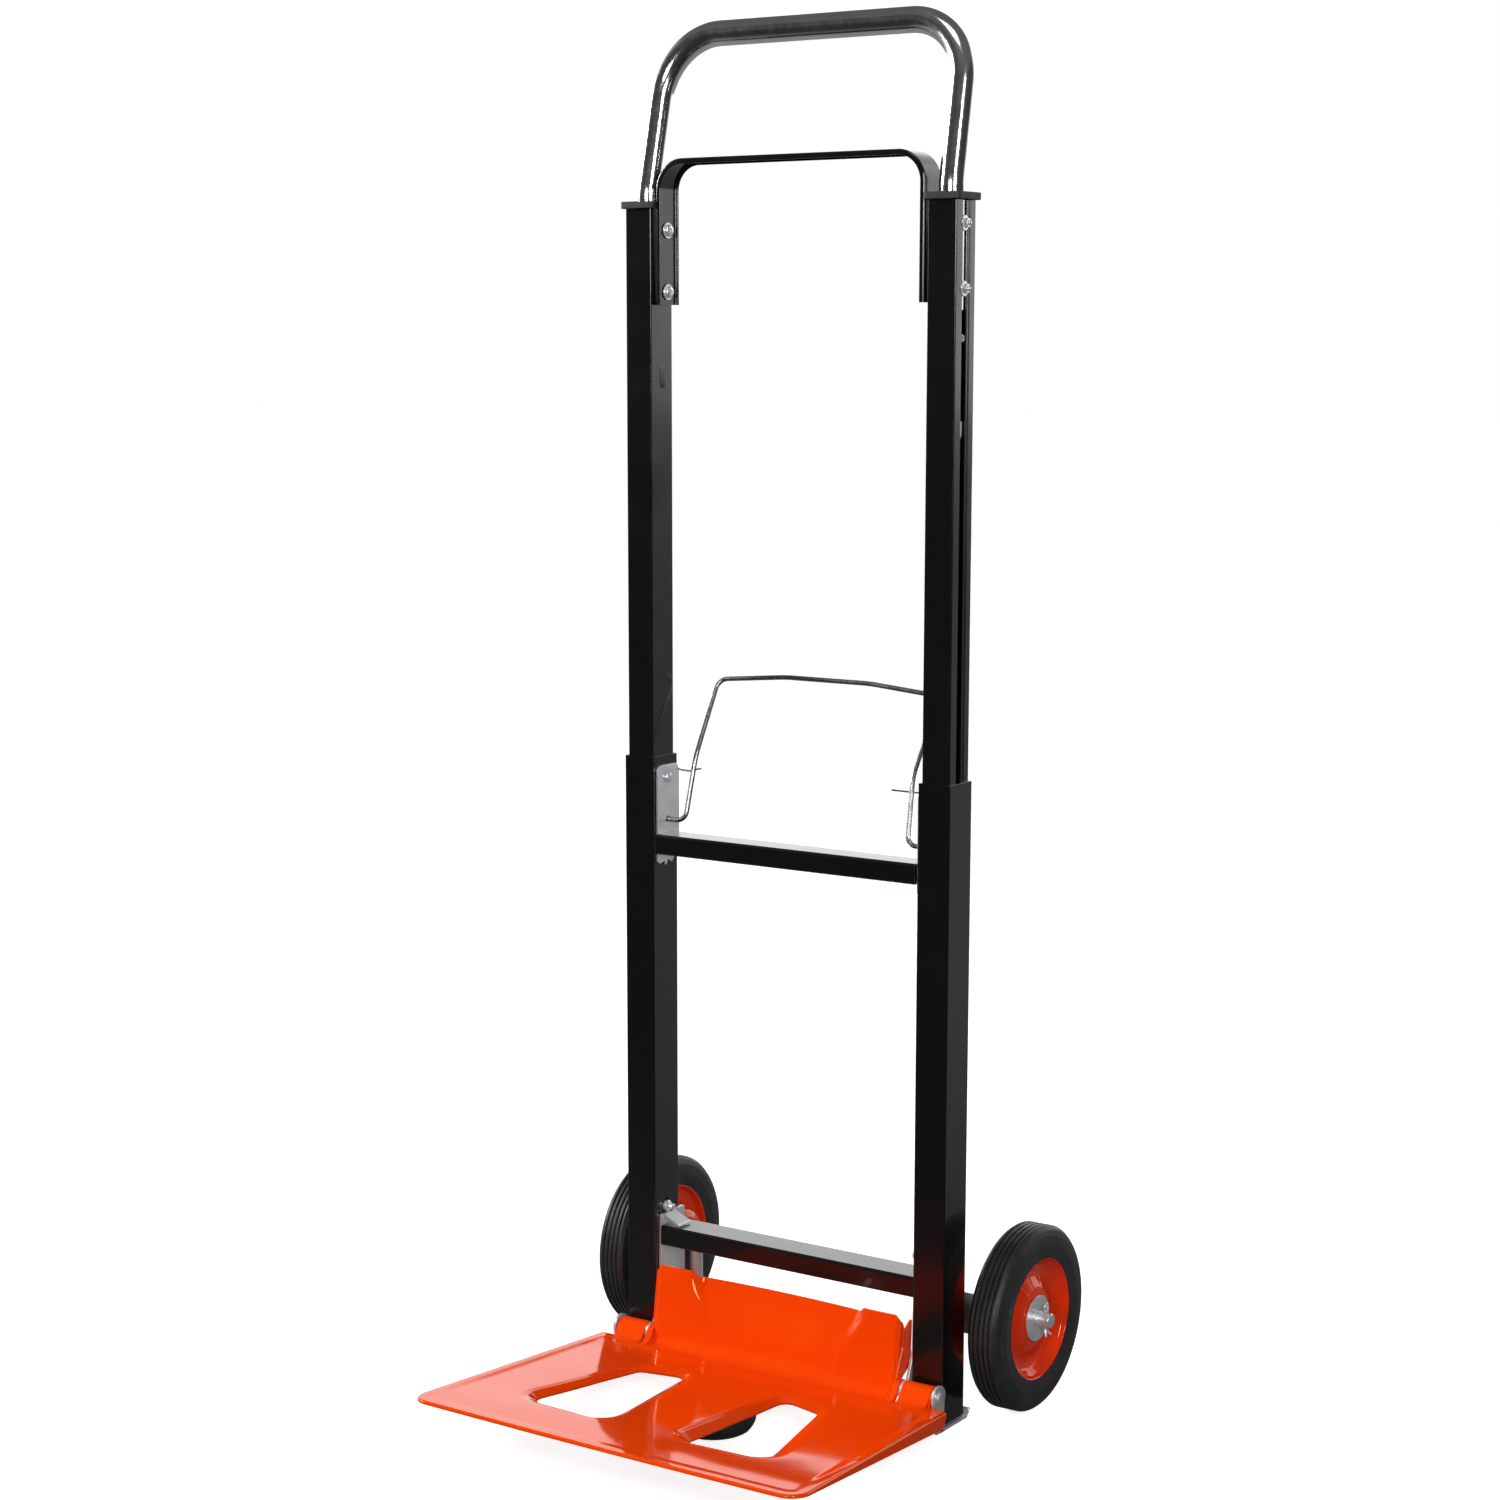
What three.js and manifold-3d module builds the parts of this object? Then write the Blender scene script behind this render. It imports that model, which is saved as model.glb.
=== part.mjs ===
// Folding hand truck: telescoping frame, folding toe plate and wheels, wire bail.
// Millimetres. +X to the right, +Y to the back, +Z up, standing on z = 0.
import * as THREE from 'three';
import { mergeVertices } from 'three/addons/utils/BufferGeometryUtils.js';
import Module from 'manifold-3d';

const wasm = await Module();
wasm.setup();

// ---------- driving dimensions ----------
const gap = 0.3;                       // clearance between touching pieces

// uprights
const railX = 138.3;                   // centre of each upright
const lowerTube = { width: 28, depth: 34, wall: 1.5, corner: 0.9, bottom: 3, top: 512.6 };
const upperTube = { width: 24.4, depth: 29, wall: 1.5, corner: 0.8, slot: 7, lip: 2.4, bottom: 400, top: 948 };
const boltHeights = [883.5, 931.3];
const accessHole = 6.25;
const rivetHeight = 847;
const latch = { bottom: 768, top: 786 };

// handle
const handle = { radius: 10, wall: 1.4, foot: 868, lean: 0.235, leanFrom: 962, legX: 136, top: 1083, bend: 50 };
const cap = { overhang: 3.5, height: 5.5, tongue: 3.2, tongueDepth: 24, tongueEnd: 875 };
const brace = { thickness: 1.9, lip: 2.4, depth: 26, top: 986, bottom: 873.5, bend: 24 };

// crossbars
const upperBar = { bottom: 433, top: 449.5, front: -17, back: 8, wall: 1.5 };
const lowerBar = { bottom: 101.5, top: 118.5, front: -13, back: 17, wall: 1.5 };

// bail
const bail = { radius: 2, pivotY: 0.6, pivotZ: 460, legX: 105, bend: 8 };
const lockTravel = 360;                // how far the upper frame slides down
const stopWire = { radius: 0.8, y: 13.2, z: 500, reachRight: 83, reachLeft: 97.7 };

// toe plate and its hinge
const hinge = { y: -26, z: 30, pin: 3, knuckle: 8.3, ear: 9.6 };
const toe = {
  rear: -36, front: -271.3, rearHalf: 167, frontHalf: 180, corner: 16, height: 24.4, slope: 0.0513,
  sheet: 1.8, flangeRear: 13, flangeFront: 2.6, lipDrop: 5.5, lipWidth: 9,
};
const apron = { half: 118, bottom: 22, top: 89.3, lean: 0.14, sheet: 2, sideTop: 75 };
const padFoot = { y: -113, radius: 34 };

// wheels
const wheel = { radius: 75, y: 68.1, axle: 6 };
const wheelPin = { x: 118, y: 34, radius: 3, knuckle: 5.5, bottom: 62, top: 96 };

// the outline runs from the toe's front edge to the back of the wheels
const centreY = (toe.front + wheel.y + wheel.radius) / 2;

// ---------- materials ----------
const paint = (color, roughness, metalness) => new THREE.MeshStandardMaterial({ color, roughness, metalness });
const black = paint(0x0d0d0e, 0.25, 0.1);
const orange = paint(0xf04a08, 0.25, 0.1);
const rimRed = paint(0xe03a10, 0.25, 0.1);
const chrome = paint(0xd5d7da, 0.08, 1);
const zinc = paint(0xb9bcbe, 0.35, 0.9);
const capPlastic = paint(0x1c1d1f, 0.7, 0);
const rubber = paint(0x1b1b1c, 0.85, 0);

// ---------- solids ----------
function toSolid(geometry) {
  const bare = geometry.clone();
  bare.deleteAttribute('normal');
  bare.deleteAttribute('uv');
  const merged = mergeVertices(bare, 1e-4);
  return new wasm.Manifold(new wasm.Mesh({
    numProp: 3,
    vertProperties: new Float32Array(merged.attributes.position.array),
    triVerts: new Uint32Array(merged.index.array),
  }));
}

function toGeometry(solid) {
  const { vertProperties, triVerts } = solid.getMesh();
  const geometry = new THREE.BufferGeometry();
  geometry.setAttribute('position', new THREE.BufferAttribute(Float32Array.from(vertProperties), 3));
  geometry.setIndex(new THREE.BufferAttribute(Uint32Array.from(triVerts), 1));
  return geometry;
}

const join = (...parts) => toGeometry(parts.map(toSolid).reduce((a, b) => a.add(b)));
const cut = (base, ...tools) => toGeometry(tools.map(toSolid).reduce((a, b) => a.subtract(b), toSolid(base)));

function box([x0, x1], [y0, y1], [z0, z1]) {
  const geometry = new THREE.BoxGeometry(x1 - x0, y1 - y0, z1 - z0);
  return geometry.translate((x0 + x1) / 2, (y0 + y1) / 2, (z0 + z1) / 2);
}

// a round bar along X from x0 to x1
function barX(radius, x0, x1, y, z, sides = 12) {
  const geometry = new THREE.CylinderGeometry(radius, radius, x1 - x0, sides).rotateZ(-Math.PI / 2);
  return geometry.translate((x0 + x1) / 2, y, z);
}

// a round bar along Z from z0 to z1
function barZ(radius, x, y, z0, z1, sides = 12) {
  const geometry = new THREE.CylinderGeometry(radius, radius, z1 - z0, sides).rotateX(Math.PI / 2);
  return geometry.translate(x, y, (z0 + z1) / 2);
}

// an outline of [x, y] points carried up Z
function prismZ(shape, z0, z1, curveSegments = 2) {
  const geometry = new THREE.ExtrudeGeometry(shape, { depth: z1 - z0, bevelEnabled: false, curveSegments });
  return geometry.translate(0, 0, z0);
}

// an outline of [y, z] points carried along X
function prismX(shape, x0, x1, curveSegments = 8) {
  const geometry = new THREE.ExtrudeGeometry(shape, { depth: x1 - x0, bevelEnabled: false, curveSegments });
  const turn = new THREE.Matrix4().makeBasis(
    new THREE.Vector3(0, 1, 0), new THREE.Vector3(0, 0, 1), new THREE.Vector3(1, 0, 0));
  return geometry.applyMatrix4(turn).translate(x0, 0, 0);
}

// an outline of [x, z] points carried along Y
function prismY(shape, y0, y1, curveSegments = 6) {
  const geometry = new THREE.ExtrudeGeometry(shape, { depth: y1 - y0, bevelEnabled: false, curveSegments });
  return geometry.rotateX(Math.PI / 2).translate(0, y1, 0);
}

// a turned piece: [radius, distance along X] points spun about X
function turnedX(profile, sides) {
  const points = profile.map(([radius, x]) => new THREE.Vector2(radius, x));
  return new THREE.LatheGeometry(points, sides).rotateZ(-Math.PI / 2);
}

const outline = (points) => new THREE.Shape(points.map(([x, y]) => new THREE.Vector2(x, y)));

function roundedBox(width, depth, radius) {
  const [w, d] = [width / 2 - radius, depth / 2 - radius];
  const shape = new THREE.Shape();
  shape.absarc(w, d, radius, 0, Math.PI / 2);
  shape.absarc(-w, d, radius, Math.PI / 2, Math.PI);
  shape.absarc(-w, -d, radius, Math.PI, 1.5 * Math.PI);
  shape.absarc(w, -d, radius, 1.5 * Math.PI, 2 * Math.PI);
  return shape;
}

// a closed skin over rings of points, each ring seen anticlockwise from the side the rings grow towards
function loft(rings) {
  const count = rings[0].length;
  const positions = rings.flat().flatMap((p) => [p.x, p.y, p.z]);
  const index = [];
  for (let r = 0; r + 1 < rings.length; r += 1) {
    for (let i = 0; i < count; i += 1) {
      const j = (i + 1) % count;
      const [a, b, c, d] = [r * count + i, r * count + j, (r + 1) * count + j, (r + 1) * count + i];
      index.push(a, b, c, a, c, d);
    }
  }
  const flat = (ring) => ring.map((p) => new THREE.Vector2(p.x, p.y));
  const last = (rings.length - 1) * count;
  for (const [a, b, c] of THREE.ShapeUtils.triangulateShape(flat(rings[0]), [])) index.push(a, c, b);
  for (const [a, b, c] of THREE.ShapeUtils.triangulateShape(flat(rings.at(-1)), [])) {
    index.push(last + a, last + b, last + c);
  }
  const geometry = new THREE.BufferGeometry();
  geometry.setAttribute('position', new THREE.Float32BufferAttribute(positions, 3));
  geometry.setIndex(index);
  return geometry;
}

// A run through given stops, with one section at each stop.
class TubeRun extends THREE.Curve {
  constructor(stops) {
    super();
    this.stops = stops;
  }

  getUtoTmapping(u) {
    return u;
  }

  getPoint(t) {
    const place = Math.min(Math.max(t, 0), 1) * (this.stops.length - 1);
    const from = Math.min(Math.floor(place), this.stops.length - 2);
    return this.stops[from].clone().lerp(this.stops[from + 1], place - from);
  }
}

// stops along straight stretches with each listed corner rounded: [point, radius, steps]
function roundedRun(corners) {
  const stops = [];
  corners.forEach(([point, radius, steps], i) => {
    if (!radius) {
      stops.push(point);
      return;
    }
    const back = corners[i - 1][0].clone().sub(point).normalize();
    const ahead = corners[i + 1][0].clone().sub(point).normalize();
    const half = back.angleTo(ahead) / 2;
    const centre = point.clone().addScaledVector(back.clone().add(ahead).normalize(), radius / Math.sin(half));
    const start = point.clone().addScaledVector(back, radius / Math.tan(half)).sub(centre);
    const end = point.clone().addScaledVector(ahead, radius / Math.tan(half)).sub(centre);
    const axis = start.clone().cross(end).normalize();
    for (let s = 0; s <= steps; s += 1) {
      stops.push(start.clone().applyAxisAngle(axis, start.angleTo(end) * s / steps).add(centre));
    }
  });
  return stops;
}

function tubeAlong(stops, radius, sides, bore = 0) {
  const section = new THREE.Shape().absarc(0, 0, radius, 0, 2 * Math.PI);
  if (bore) section.holes.push(new THREE.Path().absarc(0, 0, bore, 0, 2 * Math.PI, true));
  return new THREE.ExtrudeGeometry(section, {
    steps: stops.length - 1, extrudePath: new TubeRun(stops), curveSegments: sides / 2,
  });
}

const at = (x, y, z) => new THREE.Vector3(x, y, z);

// ---------- the assembly ----------
const truck = new THREE.Group();
truck.position.y = -centreY;

function add(name, geometry, material, parent = truck) {
  const mesh = new THREE.Mesh(geometry, material);
  mesh.name = name;
  parent.add(mesh);
  return mesh;
}

// the same piece for the other hand: mirrored in X with its faces turned back out
function mirrored(geometry) {
  const flipped = geometry.index ? geometry.clone() : mergeVertices(geometry);
  flipped.scale(-1, 1, 1);
  const { array } = flipped.index;
  for (let i = 0; i < array.length; i += 3) [array[i], array[i + 1]] = [array[i + 1], array[i]];
  return flipped;
}

// pieces are drawn on the right-hand side and repeated on the left
function addPair(name, geometry, material, parent = truck) {
  add(`${name}_right`, geometry, material, parent);
  add(`${name}_left`, mirrored(geometry), material, parent);
}

// ---------- lower frame ----------
const tubeInner = railX - lowerTube.width / 2;     // inner face of the lower tube
const screwHeight = 494.7;                         // bail bracket screw
const stud = { y: -2, z: 133, radius: 2.4 };       // threaded stud above the foot bracket

function lowerTubeGeometry() {
  const { width, depth, wall, corner, bottom, top } = lowerTube;
  const section = roundedBox(width, depth, corner);
  section.holes.push(roundedBox(width - 2 * wall, depth - 2 * wall, corner / 2));
  return cut(
    prismZ(section, bottom, top).translate(railX, 0, 0),
    barX(bail.radius + 0.45, tubeInner - 1, tubeInner + 2.5, bail.pivotY, bail.pivotZ, 10),
    barX(2.3, tubeInner - 1, tubeInner + 2.5, 0, screwHeight, 10),
    barX(stud.radius + gap, tubeInner - 1, tubeInner + 2.5, stud.y, stud.z, 10),
  );
}

function crossbarGeometry({ bottom, top, front, back, wall }, reach) {
  const section = outline([[front, bottom], [back, bottom], [back, top], [front, top]]);
  section.holes.push(outline([
    [front + wall, bottom + wall], [front + wall, top - wall], [back - wall, top - wall], [back - wall, bottom + wall],
  ]));
  return prismX(section, -reach, reach);
}

function bailBracketGeometry() {
  const plate = outline([
    [-12, 434], [-12, 500], [-7, 505], [10, 505], [15, 500], [15, 430], [11, 426], [8, 433], [2, 428], [-4, 430], [-8, 424],
  ]);
  const inner = tubeInner - gap - 2;
  return cut(
    prismX(plate, inner, inner + 2),
    barX(bail.radius + 0.45, inner - 1, inner + 3, bail.pivotY, bail.pivotZ, 10),
    barX(2.3, inner - 1, inner + 3, 0, screwHeight, 10),
  );
}

// pan-head screw seated on a face at x = seat, its shank running outwards
function panScrewProfile(seat, end, headRadius, shankRadius) {
  return [
    [0, seat - 2.8], [headRadius * 0.6, seat - 2.5], [headRadius * 0.93, seat - 1.6], [headRadius, seat - 0.6],
    [headRadius, seat], [shankRadius, seat], [shankRadius, end], [0, end],
  ];
}

// the right wire is straight; the left one is shorter and curls at its end
function stopWireGeometry(reach, curled) {
  const { radius, y, z } = stopWire;
  const start = tubeInner - gap - 2 - gap;
  const end = curled ? [at(reach + 3, y, z + 1), at(reach, y - 0.5, z + 4)] : [at(reach, y, z)];
  return tubeAlong([at(start, y, z), at(reach + 8, y, z), ...end], radius, 6);
}

// a stamped bracket: floor under the tube, tall inner wall, outer hinge ear, two lugs for the wheel hinge
function footBracketGeometry(hasTab) {
  const wallX = [tubeInner - gap - 2.4, tubeInner - gap];
  const earX = [railX + lowerTube.width / 2 + gap, railX + lowerTube.width / 2 + gap + 2.2];
  const wall = new THREE.Shape();
  wall.moveTo(-24, 0);
  wall.lineTo(22, 0);
  wall.lineTo(22, 128);
  wall.lineTo(-11, 128);
  wall.lineTo(-13, 60);
  wall.lineTo(hinge.y + 4, hinge.z + hinge.ear);
  wall.absarc(hinge.y, hinge.z, hinge.ear, Math.PI * 0.4, Math.PI * 1.1);
  const ear = new THREE.Shape();
  ear.moveTo(-30, 0);
  ear.lineTo(-8, 0);
  ear.lineTo(-14, hinge.z);
  ear.absarc(hinge.y, hinge.z, hinge.ear, 0, Math.PI * 1.05);
  const curl = outline([
    [19, 0], [23, 1.5], [26, 5], [26.8, 10], [24.4, 10.2], [23.8, 6.4], [21.8, 4], [19, 2.4],
  ]);
  const tab = outline([
    [wallX[1], 126], [wallX[1], 128.3], [wallX[0] - 1, 128.3], [104, 121.2], [104, 119], [wallX[0], 126],
  ]);
  const lugs = [wheelPin.bottom - 1 - 2, wheelPin.top + 1].flatMap((z) => [
    box(wallX, [20, wheelPin.y + 5], [z - 1, z + 2]),
    box([wheelPin.x - 5, wallX[1]], [wheelPin.y - 5, wheelPin.y + 5], [z, z + 2]),
  ]);
  return cut(
    join(
      box([wallX[0], earX[1]], [-24, 19.5], [0, 2.4]),
      prismX(wall, ...wallX),
      prismX(ear, ...earX),
      prismX(curl, wallX[0] + 4, earX[1] - 1),
      ...(hasTab ? [prismY(tab, -10, 6)] : []),
      ...lugs,
    ),
    barX(hinge.pin + gap, wallX[0] - 5, earX[1] + 5, hinge.y, hinge.z),
    barZ(wheelPin.radius + gap, wheelPin.x, wheelPin.y, wheelPin.bottom - 8, wheelPin.top + 8),
  );
}

function hingePinGeometry() {
  const inner = tubeInner - 5.2;
  const outer = railX + lowerTube.width / 2 + gap + 2.2 + gap;
  return turnedX([
    [0, inner], [2.2, inner], [hinge.pin, inner + 1], [hinge.pin, outer], [5, outer], [5, outer + 1], [3, outer + 2.2],
    [0, outer + 2.2],
  ], 12).translate(0, hinge.y, hinge.z);
}

function wheelPinGeometry() {
  const { x, y, radius, bottom, top } = wheelPin;
  return join(barZ(radius, x, y, bottom - 5, top + 4), barZ(4.6, x, y, top + 3 + gap, top + 5));
}

function studGeometry() {
  return turnedX([
    [0, 115.5], [1.8, 115.5], [stud.radius, 116.5], [stud.radius, 121], [4.6, 121], [4.6, tubeInner - gap],
    [stud.radius, tubeInner - gap], [stud.radius, tubeInner + 1.2], [0, tubeInner + 1.2],
  ], 8).translate(0, stud.y, stud.z);
}

function buildLowerFrame() {
  addPair('lower_tube', lowerTubeGeometry(), black);
  add('upper_crossbar', crossbarGeometry(upperBar, tubeInner - gap - 2 - gap), black);
  add('lower_crossbar', crossbarGeometry(lowerBar, tubeInner - gap - 2.4 - gap), black);
  addPair('bail_bracket', bailBracketGeometry(), zinc);
  const seat = tubeInner - gap - 2 - gap;
  addPair('bail_bracket_screw', turnedX(panScrewProfile(seat, tubeInner + 1.3, 4.2, 2), 12)
    .translate(0, 0, screwHeight), zinc);
  add('stop_wire_right', stopWireGeometry(stopWire.reachRight, false), zinc);
  add('stop_wire_left', mirrored(stopWireGeometry(stopWire.reachLeft, true)), zinc);
  add('foot_bracket_right', footBracketGeometry(false), zinc);
  add('foot_bracket_left', mirrored(footBracketGeometry(true)), zinc);
  addPair('foot_stud', studGeometry(), zinc);
  addPair('toe_hinge_pin', hingePinGeometry(), zinc);
  addPair('wheel_hinge_pin', wheelPinGeometry(), zinc);
}

// ---------- upper frame ----------
const upperInner = railX - upperTube.width / 2;
const tongueInner = railX - upperTube.width / 2 - gap - cap.tongue;
const webInner = tongueInner - gap - brace.thickness;

// roll-formed section, open along its outer face
function upperTubeGeometry() {
  const { width, depth, wall, corner: r, slot, lip, bottom, top } = upperTube;
  const [w, d, s] = [width / 2, depth / 2, slot / 2];
  const section = outline([
    [w - lip, -s], [w, -s], [w, r - d], [w - r, -d], [r - w, -d], [-w, r - d], [-w, d - r], [r - w, d],
    [w - r, d], [w, d - r], [w, s], [w - lip, s], [w - lip, s + wall], [w - wall, s + wall], [w - wall, d - wall],
    [wall - w, d - wall], [wall - w, wall - d], [w - wall, wall - d], [w - wall, -s - wall], [w - lip, -s - wall],
  ]);
  const boltHoles = boltHeights.flatMap((z) => [
    barX(accessHole, railX + w - 4, railX + w + 1, 0, z, 16),
    barX(3.3, upperInner - 1, upperInner + 3, 0, z, 10),
  ]);
  const lockHoles = [bail.pivotZ, bail.pivotZ + lockTravel].map((z) => (
    barX(bail.radius + 0.6, upperInner - 1, upperInner + 3, bail.pivotY, z, 10)));
  return cut(prismZ(section, bottom, top).translate(railX, 0, 0), ...boltHoles, ...lockHoles);
}

function endCapGeometry() {
  const { overhang, height, tongueDepth, tongueEnd } = cap;
  const flange = roundedBox(upperTube.width + 2 * overhang, upperTube.depth + 2 * overhang, 3);
  const base = upperTube.top + gap;
  return cut(
    join(
      prismZ(flange, base, base + height).translate(railX, 0, 0),
      box([tongueInner, tongueInner + cap.tongue], [-tongueDepth / 2, tongueDepth / 2], [tongueEnd, base + 2]),
    ),
    barZ(handle.radius + 0.5, railX, 0, base - 5, base + height + 5, 16),
    ...boltHeights.map((z) => barX(3.3, tongueInner - 1, upperInner + 1, 0, z, 10)),
  );
}

function handleGeometry() {
  const { radius, wall, foot, lean, leanFrom, legX, top, bend } = handle;
  const topY = (top - leanFrom - 10) * lean;
  const corner = (side) => [at(side * legX, topY, top), bend, 7];
  const start = (side) => [
    [at(side * railX, 0, foot)],
    [at(side * railX, 0, upperTube.top)],
    [at(side * railX, 0, leanFrom), 30, 2],
  ];
  const stops = roundedRun([...start(-1), corner(-1), corner(1), ...start(1).reverse()]);
  return cut(
    tubeAlong(stops, radius, 14, radius - wall),
    ...boltHeights.map((z) => barX(3.3, -railX - 15, railX + 15, 0, z, 10)),
  );
}

// a channel-section strap bent into an inverted U
function braceGeometry() {
  const { thickness, lip, depth, top, bottom, bend } = brace;
  const outer = tongueInner - gap;
  const arch = (inset) => {
    const shape = new THREE.Shape();
    const [half, radius] = [outer - inset, bend - inset];
    shape.moveTo(half, bottom);
    shape.absarc(half - radius, top - bend, radius, 0, Math.PI / 2);
    shape.absarc(radius - half, top - bend, radius, Math.PI / 2, Math.PI);
    shape.lineTo(-half, bottom);
    return shape.getPoints(7);
  };
  const strip = (inset) => new THREE.Shape([...arch(0), ...arch(inset).reverse()]);
  const channel = join(
    prismY(strip(thickness), -depth / 2, depth / 2),
    prismY(strip(thickness + lip), -depth / 2, -depth / 2 + 1.6),
    prismY(strip(thickness + lip), depth / 2 - 1.6, depth / 2),
  );
  return cut(channel, ...boltHeights.map((z) => barX(3, -outer - 1, outer + 1, 0, z, 10)));
}

function braceScrewGeometry(z) {
  const seat = webInner - gap;
  const end = railX + handle.radius + gap;
  const washer = [6.2, seat - 1];
  return turnedX([
    [0, seat - 3.9], [2.8, seat - 3.6], [4.3, seat - 2.7], [4.6, seat - 1], washer, [6.2, seat], [2.6, seat],
    [2.6, end], [0, end],
  ], 12).translate(0, 0, z);
}

function braceNutGeometry(z) {
  const base = railX + handle.radius + 2 * gap;
  return turnedX([
    [0, base], [5.6, base], [5.6, base + 1], [3.8, base + 1], [3.8, base + 4], [2.8, base + 5.4], [0, base + 6],
  ], 12).translate(0, 0, z);
}

function slideGuideGeometry() {
  const pad = roundedBox(lowerTube.width - 2 * lowerTube.wall - 2 * gap, lowerTube.depth - 2 * lowerTube.wall - 2 * gap, 1.6);
  const plug = roundedBox(upperTube.width - 2 * upperTube.wall - 2.6, upperTube.depth - 2 * upperTube.wall - 2 * gap, 1);
  return join(
    prismZ(pad, upperTube.bottom - gap - 8, upperTube.bottom - gap, 1),
    prismZ(plug, upperTube.bottom - gap - 1, upperTube.bottom + 15, 1).translate(-0.9, 0, 0),
  ).translate(railX, 0, 0);
}

function rivetGeometry() {
  const face = railX + upperTube.width / 2 - upperTube.lip - gap;
  return turnedX([[0, face - 3], [3, face - 3], [3, face + 0.4], [2, face + 1.2], [0, face + 1.4]], 10)
    .translate(0, 0, rivetHeight);
}

function latchStripGeometry() {
  const face = railX + upperTube.width / 2 - upperTube.lip - gap;
  return box([face - 5, face], [-2.4, 2.4], [latch.bottom, latch.top]);
}

function buildUpperFrame() {
  addPair('upper_tube', upperTubeGeometry(), black);
  addPair('end_cap', endCapGeometry(), capPlastic);
  add('handle', handleGeometry(), chrome);
  add('brace_loop', braceGeometry(), black);
  boltHeights.forEach((z, i) => {
    const place = i ? 'upper' : 'lower';
    addPair(`brace_screw_${place}`, braceScrewGeometry(z), zinc);
    addPair(`brace_nut_${place}`, braceNutGeometry(z), zinc);
  });
  addPair('slide_guide', slideGuideGeometry(), capPlastic);
  addPair('slot_rivet', rivetGeometry(), zinc);
  addPair('latch_strip', latchStripGeometry(), zinc);
}

// ---------- bail ----------
function bailGeometry() {
  const { radius, pivotY, pivotZ, legX, bend } = bail;
  const side = (s) => [
    [at(s * (tubeInner + 1.2), pivotY, pivotZ)],
    [at(s * legX, pivotY, pivotZ), bend, 4],
    [at(s * 102.5, 12.4, 512), 20, 2],
    [at(s * 104.4, 48.2, 571.5), 9, 4],
    [at(s * 40, 49.5, 577), 60, 1],
  ];
  return tubeAlong(roundedRun([...side(-1), ...side(1).reverse()]), radius, 8);
}

// ---------- toe plate ----------
const deckZ = (y) => toe.height + toe.slope * (toe.rear - y);

// the plate's plan: wider at the front, with round front corners
function planOutline(inset) {
  const { rear, front, rearHalf, frontHalf, corner } = toe;
  const [y0, y1, radius] = [rear - Math.min(inset, 0.1), front + inset, Math.max(corner - inset, 2)];
  const shape = new THREE.Shape();
  shape.moveTo(rearHalf - inset, y0);
  shape.lineTo(inset - rearHalf, y0);
  shape.lineTo(inset - frontHalf, y1 + radius);
  shape.absarc(inset - frontHalf + radius, y1 + radius, radius, Math.PI, 1.5 * Math.PI);
  shape.absarc(frontHalf - inset - radius, y1 + radius, radius, 1.5 * Math.PI, 2 * Math.PI);
  return shape.extractPoints(6).shape;
}

const raise = (points, height) => points.map((p) => at(p.x, p.y, height(p.y)));

// the sheet slopes down all round a cut-out; this is the hollow above that lip
const cutout = [[39, -210], [110, -206], [86, -92], [47.5, -81]];
function lipHollow(drop) {
  const centre = [70, -150];
  const spread = (by) => cutout.map(([x, y]) => new THREE.Vector2(
    x + Math.sign(x - centre[0]) * by, y + Math.sign(y - centre[1]) * by));
  const wide = spread(toe.lipWidth + drop * 0.5);
  return loft([
    raise(spread(drop * 0.5 - 0.5), (y) => deckZ(y) - toe.lipDrop - drop),
    raise(wide, (y) => deckZ(y) - drop),
    raise(wide, (y) => deckZ(y) - drop + 4),
  ]);
}

const flangeAt = (y) => toe.flangeRear + (toe.flangeFront - toe.flangeRear) * (toe.rear - y) / (toe.rear - toe.front);

function deckGeometry() {
  const lips = (drop) => [lipHollow(drop), mirrored(lipHollow(drop))];
  const outer = loft([
    raise(planOutline(0), (y) => deckZ(y) - flangeAt(y)),
    raise(planOutline(0), (y) => deckZ(y) - 1),
    raise(planOutline(1), deckZ),
  ]);
  const inner = loft([
    raise(planOutline(toe.sheet), (y) => deckZ(y) - flangeAt(y) - 5),
    raise(planOutline(toe.sheet), (y) => deckZ(y) - 1 - toe.sheet),
    raise(planOutline(1 + toe.sheet), (y) => deckZ(y) - toe.sheet),
  ]);
  const skin = cut(cut(outer, ...lips(0)), cut(inner, ...lips(toe.sheet)));
  const hole = prismZ(outline(cutout), 0, 60);
  return cut(skin, hole, mirrored(hole));
}

// the upright apron, its side flanges and the cheeks behind them
function apronGeometry() {
  const { half, bottom, top, lean, sheet, sideTop } = apron;
  const face = outline([
    [-half, bottom], [half, bottom], [half, sideTop], [half - 2, sideTop + 3], [half - 4, top - 2], [half - 6, top],
    [88, top - 1], [78, top - 6], [-78, top - 6], [-88, top - 1], [6 - half, top], [4 - half, top - 2],
    [2 - half, sideTop + 3], [-half, sideTop],
  ]);
  const shear = new THREE.Matrix4().makeShear(0, 0, 0, 0, 0, lean);
  const panel = prismY(face, 0, sheet).translate(0, 0, -bottom).applyMatrix4(shear).translate(0, toe.rear + 3, bottom);
  const cheek = outline([[-32, 32], [-8, 36], [-6, 66], [-14, 60], [-20, 70], [-25, 70]]);
  return join(panel, prismX(cheek, half - sheet, half), prismX(cheek, -half, sheet - half));
}

function knuckleGeometry() {
  const inner = tubeInner + 0.7;
  const outer = railX + lowerTube.width / 2 - 0.5;
  const tail = box([inner, outer], [toe.rear - 3, hinge.y - 3], [toe.height - toe.sheet, toe.height + 0.1]);
  return join(barX(hinge.knuckle, inner, outer, hinge.y, hinge.z, 18), tail);
}

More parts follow.
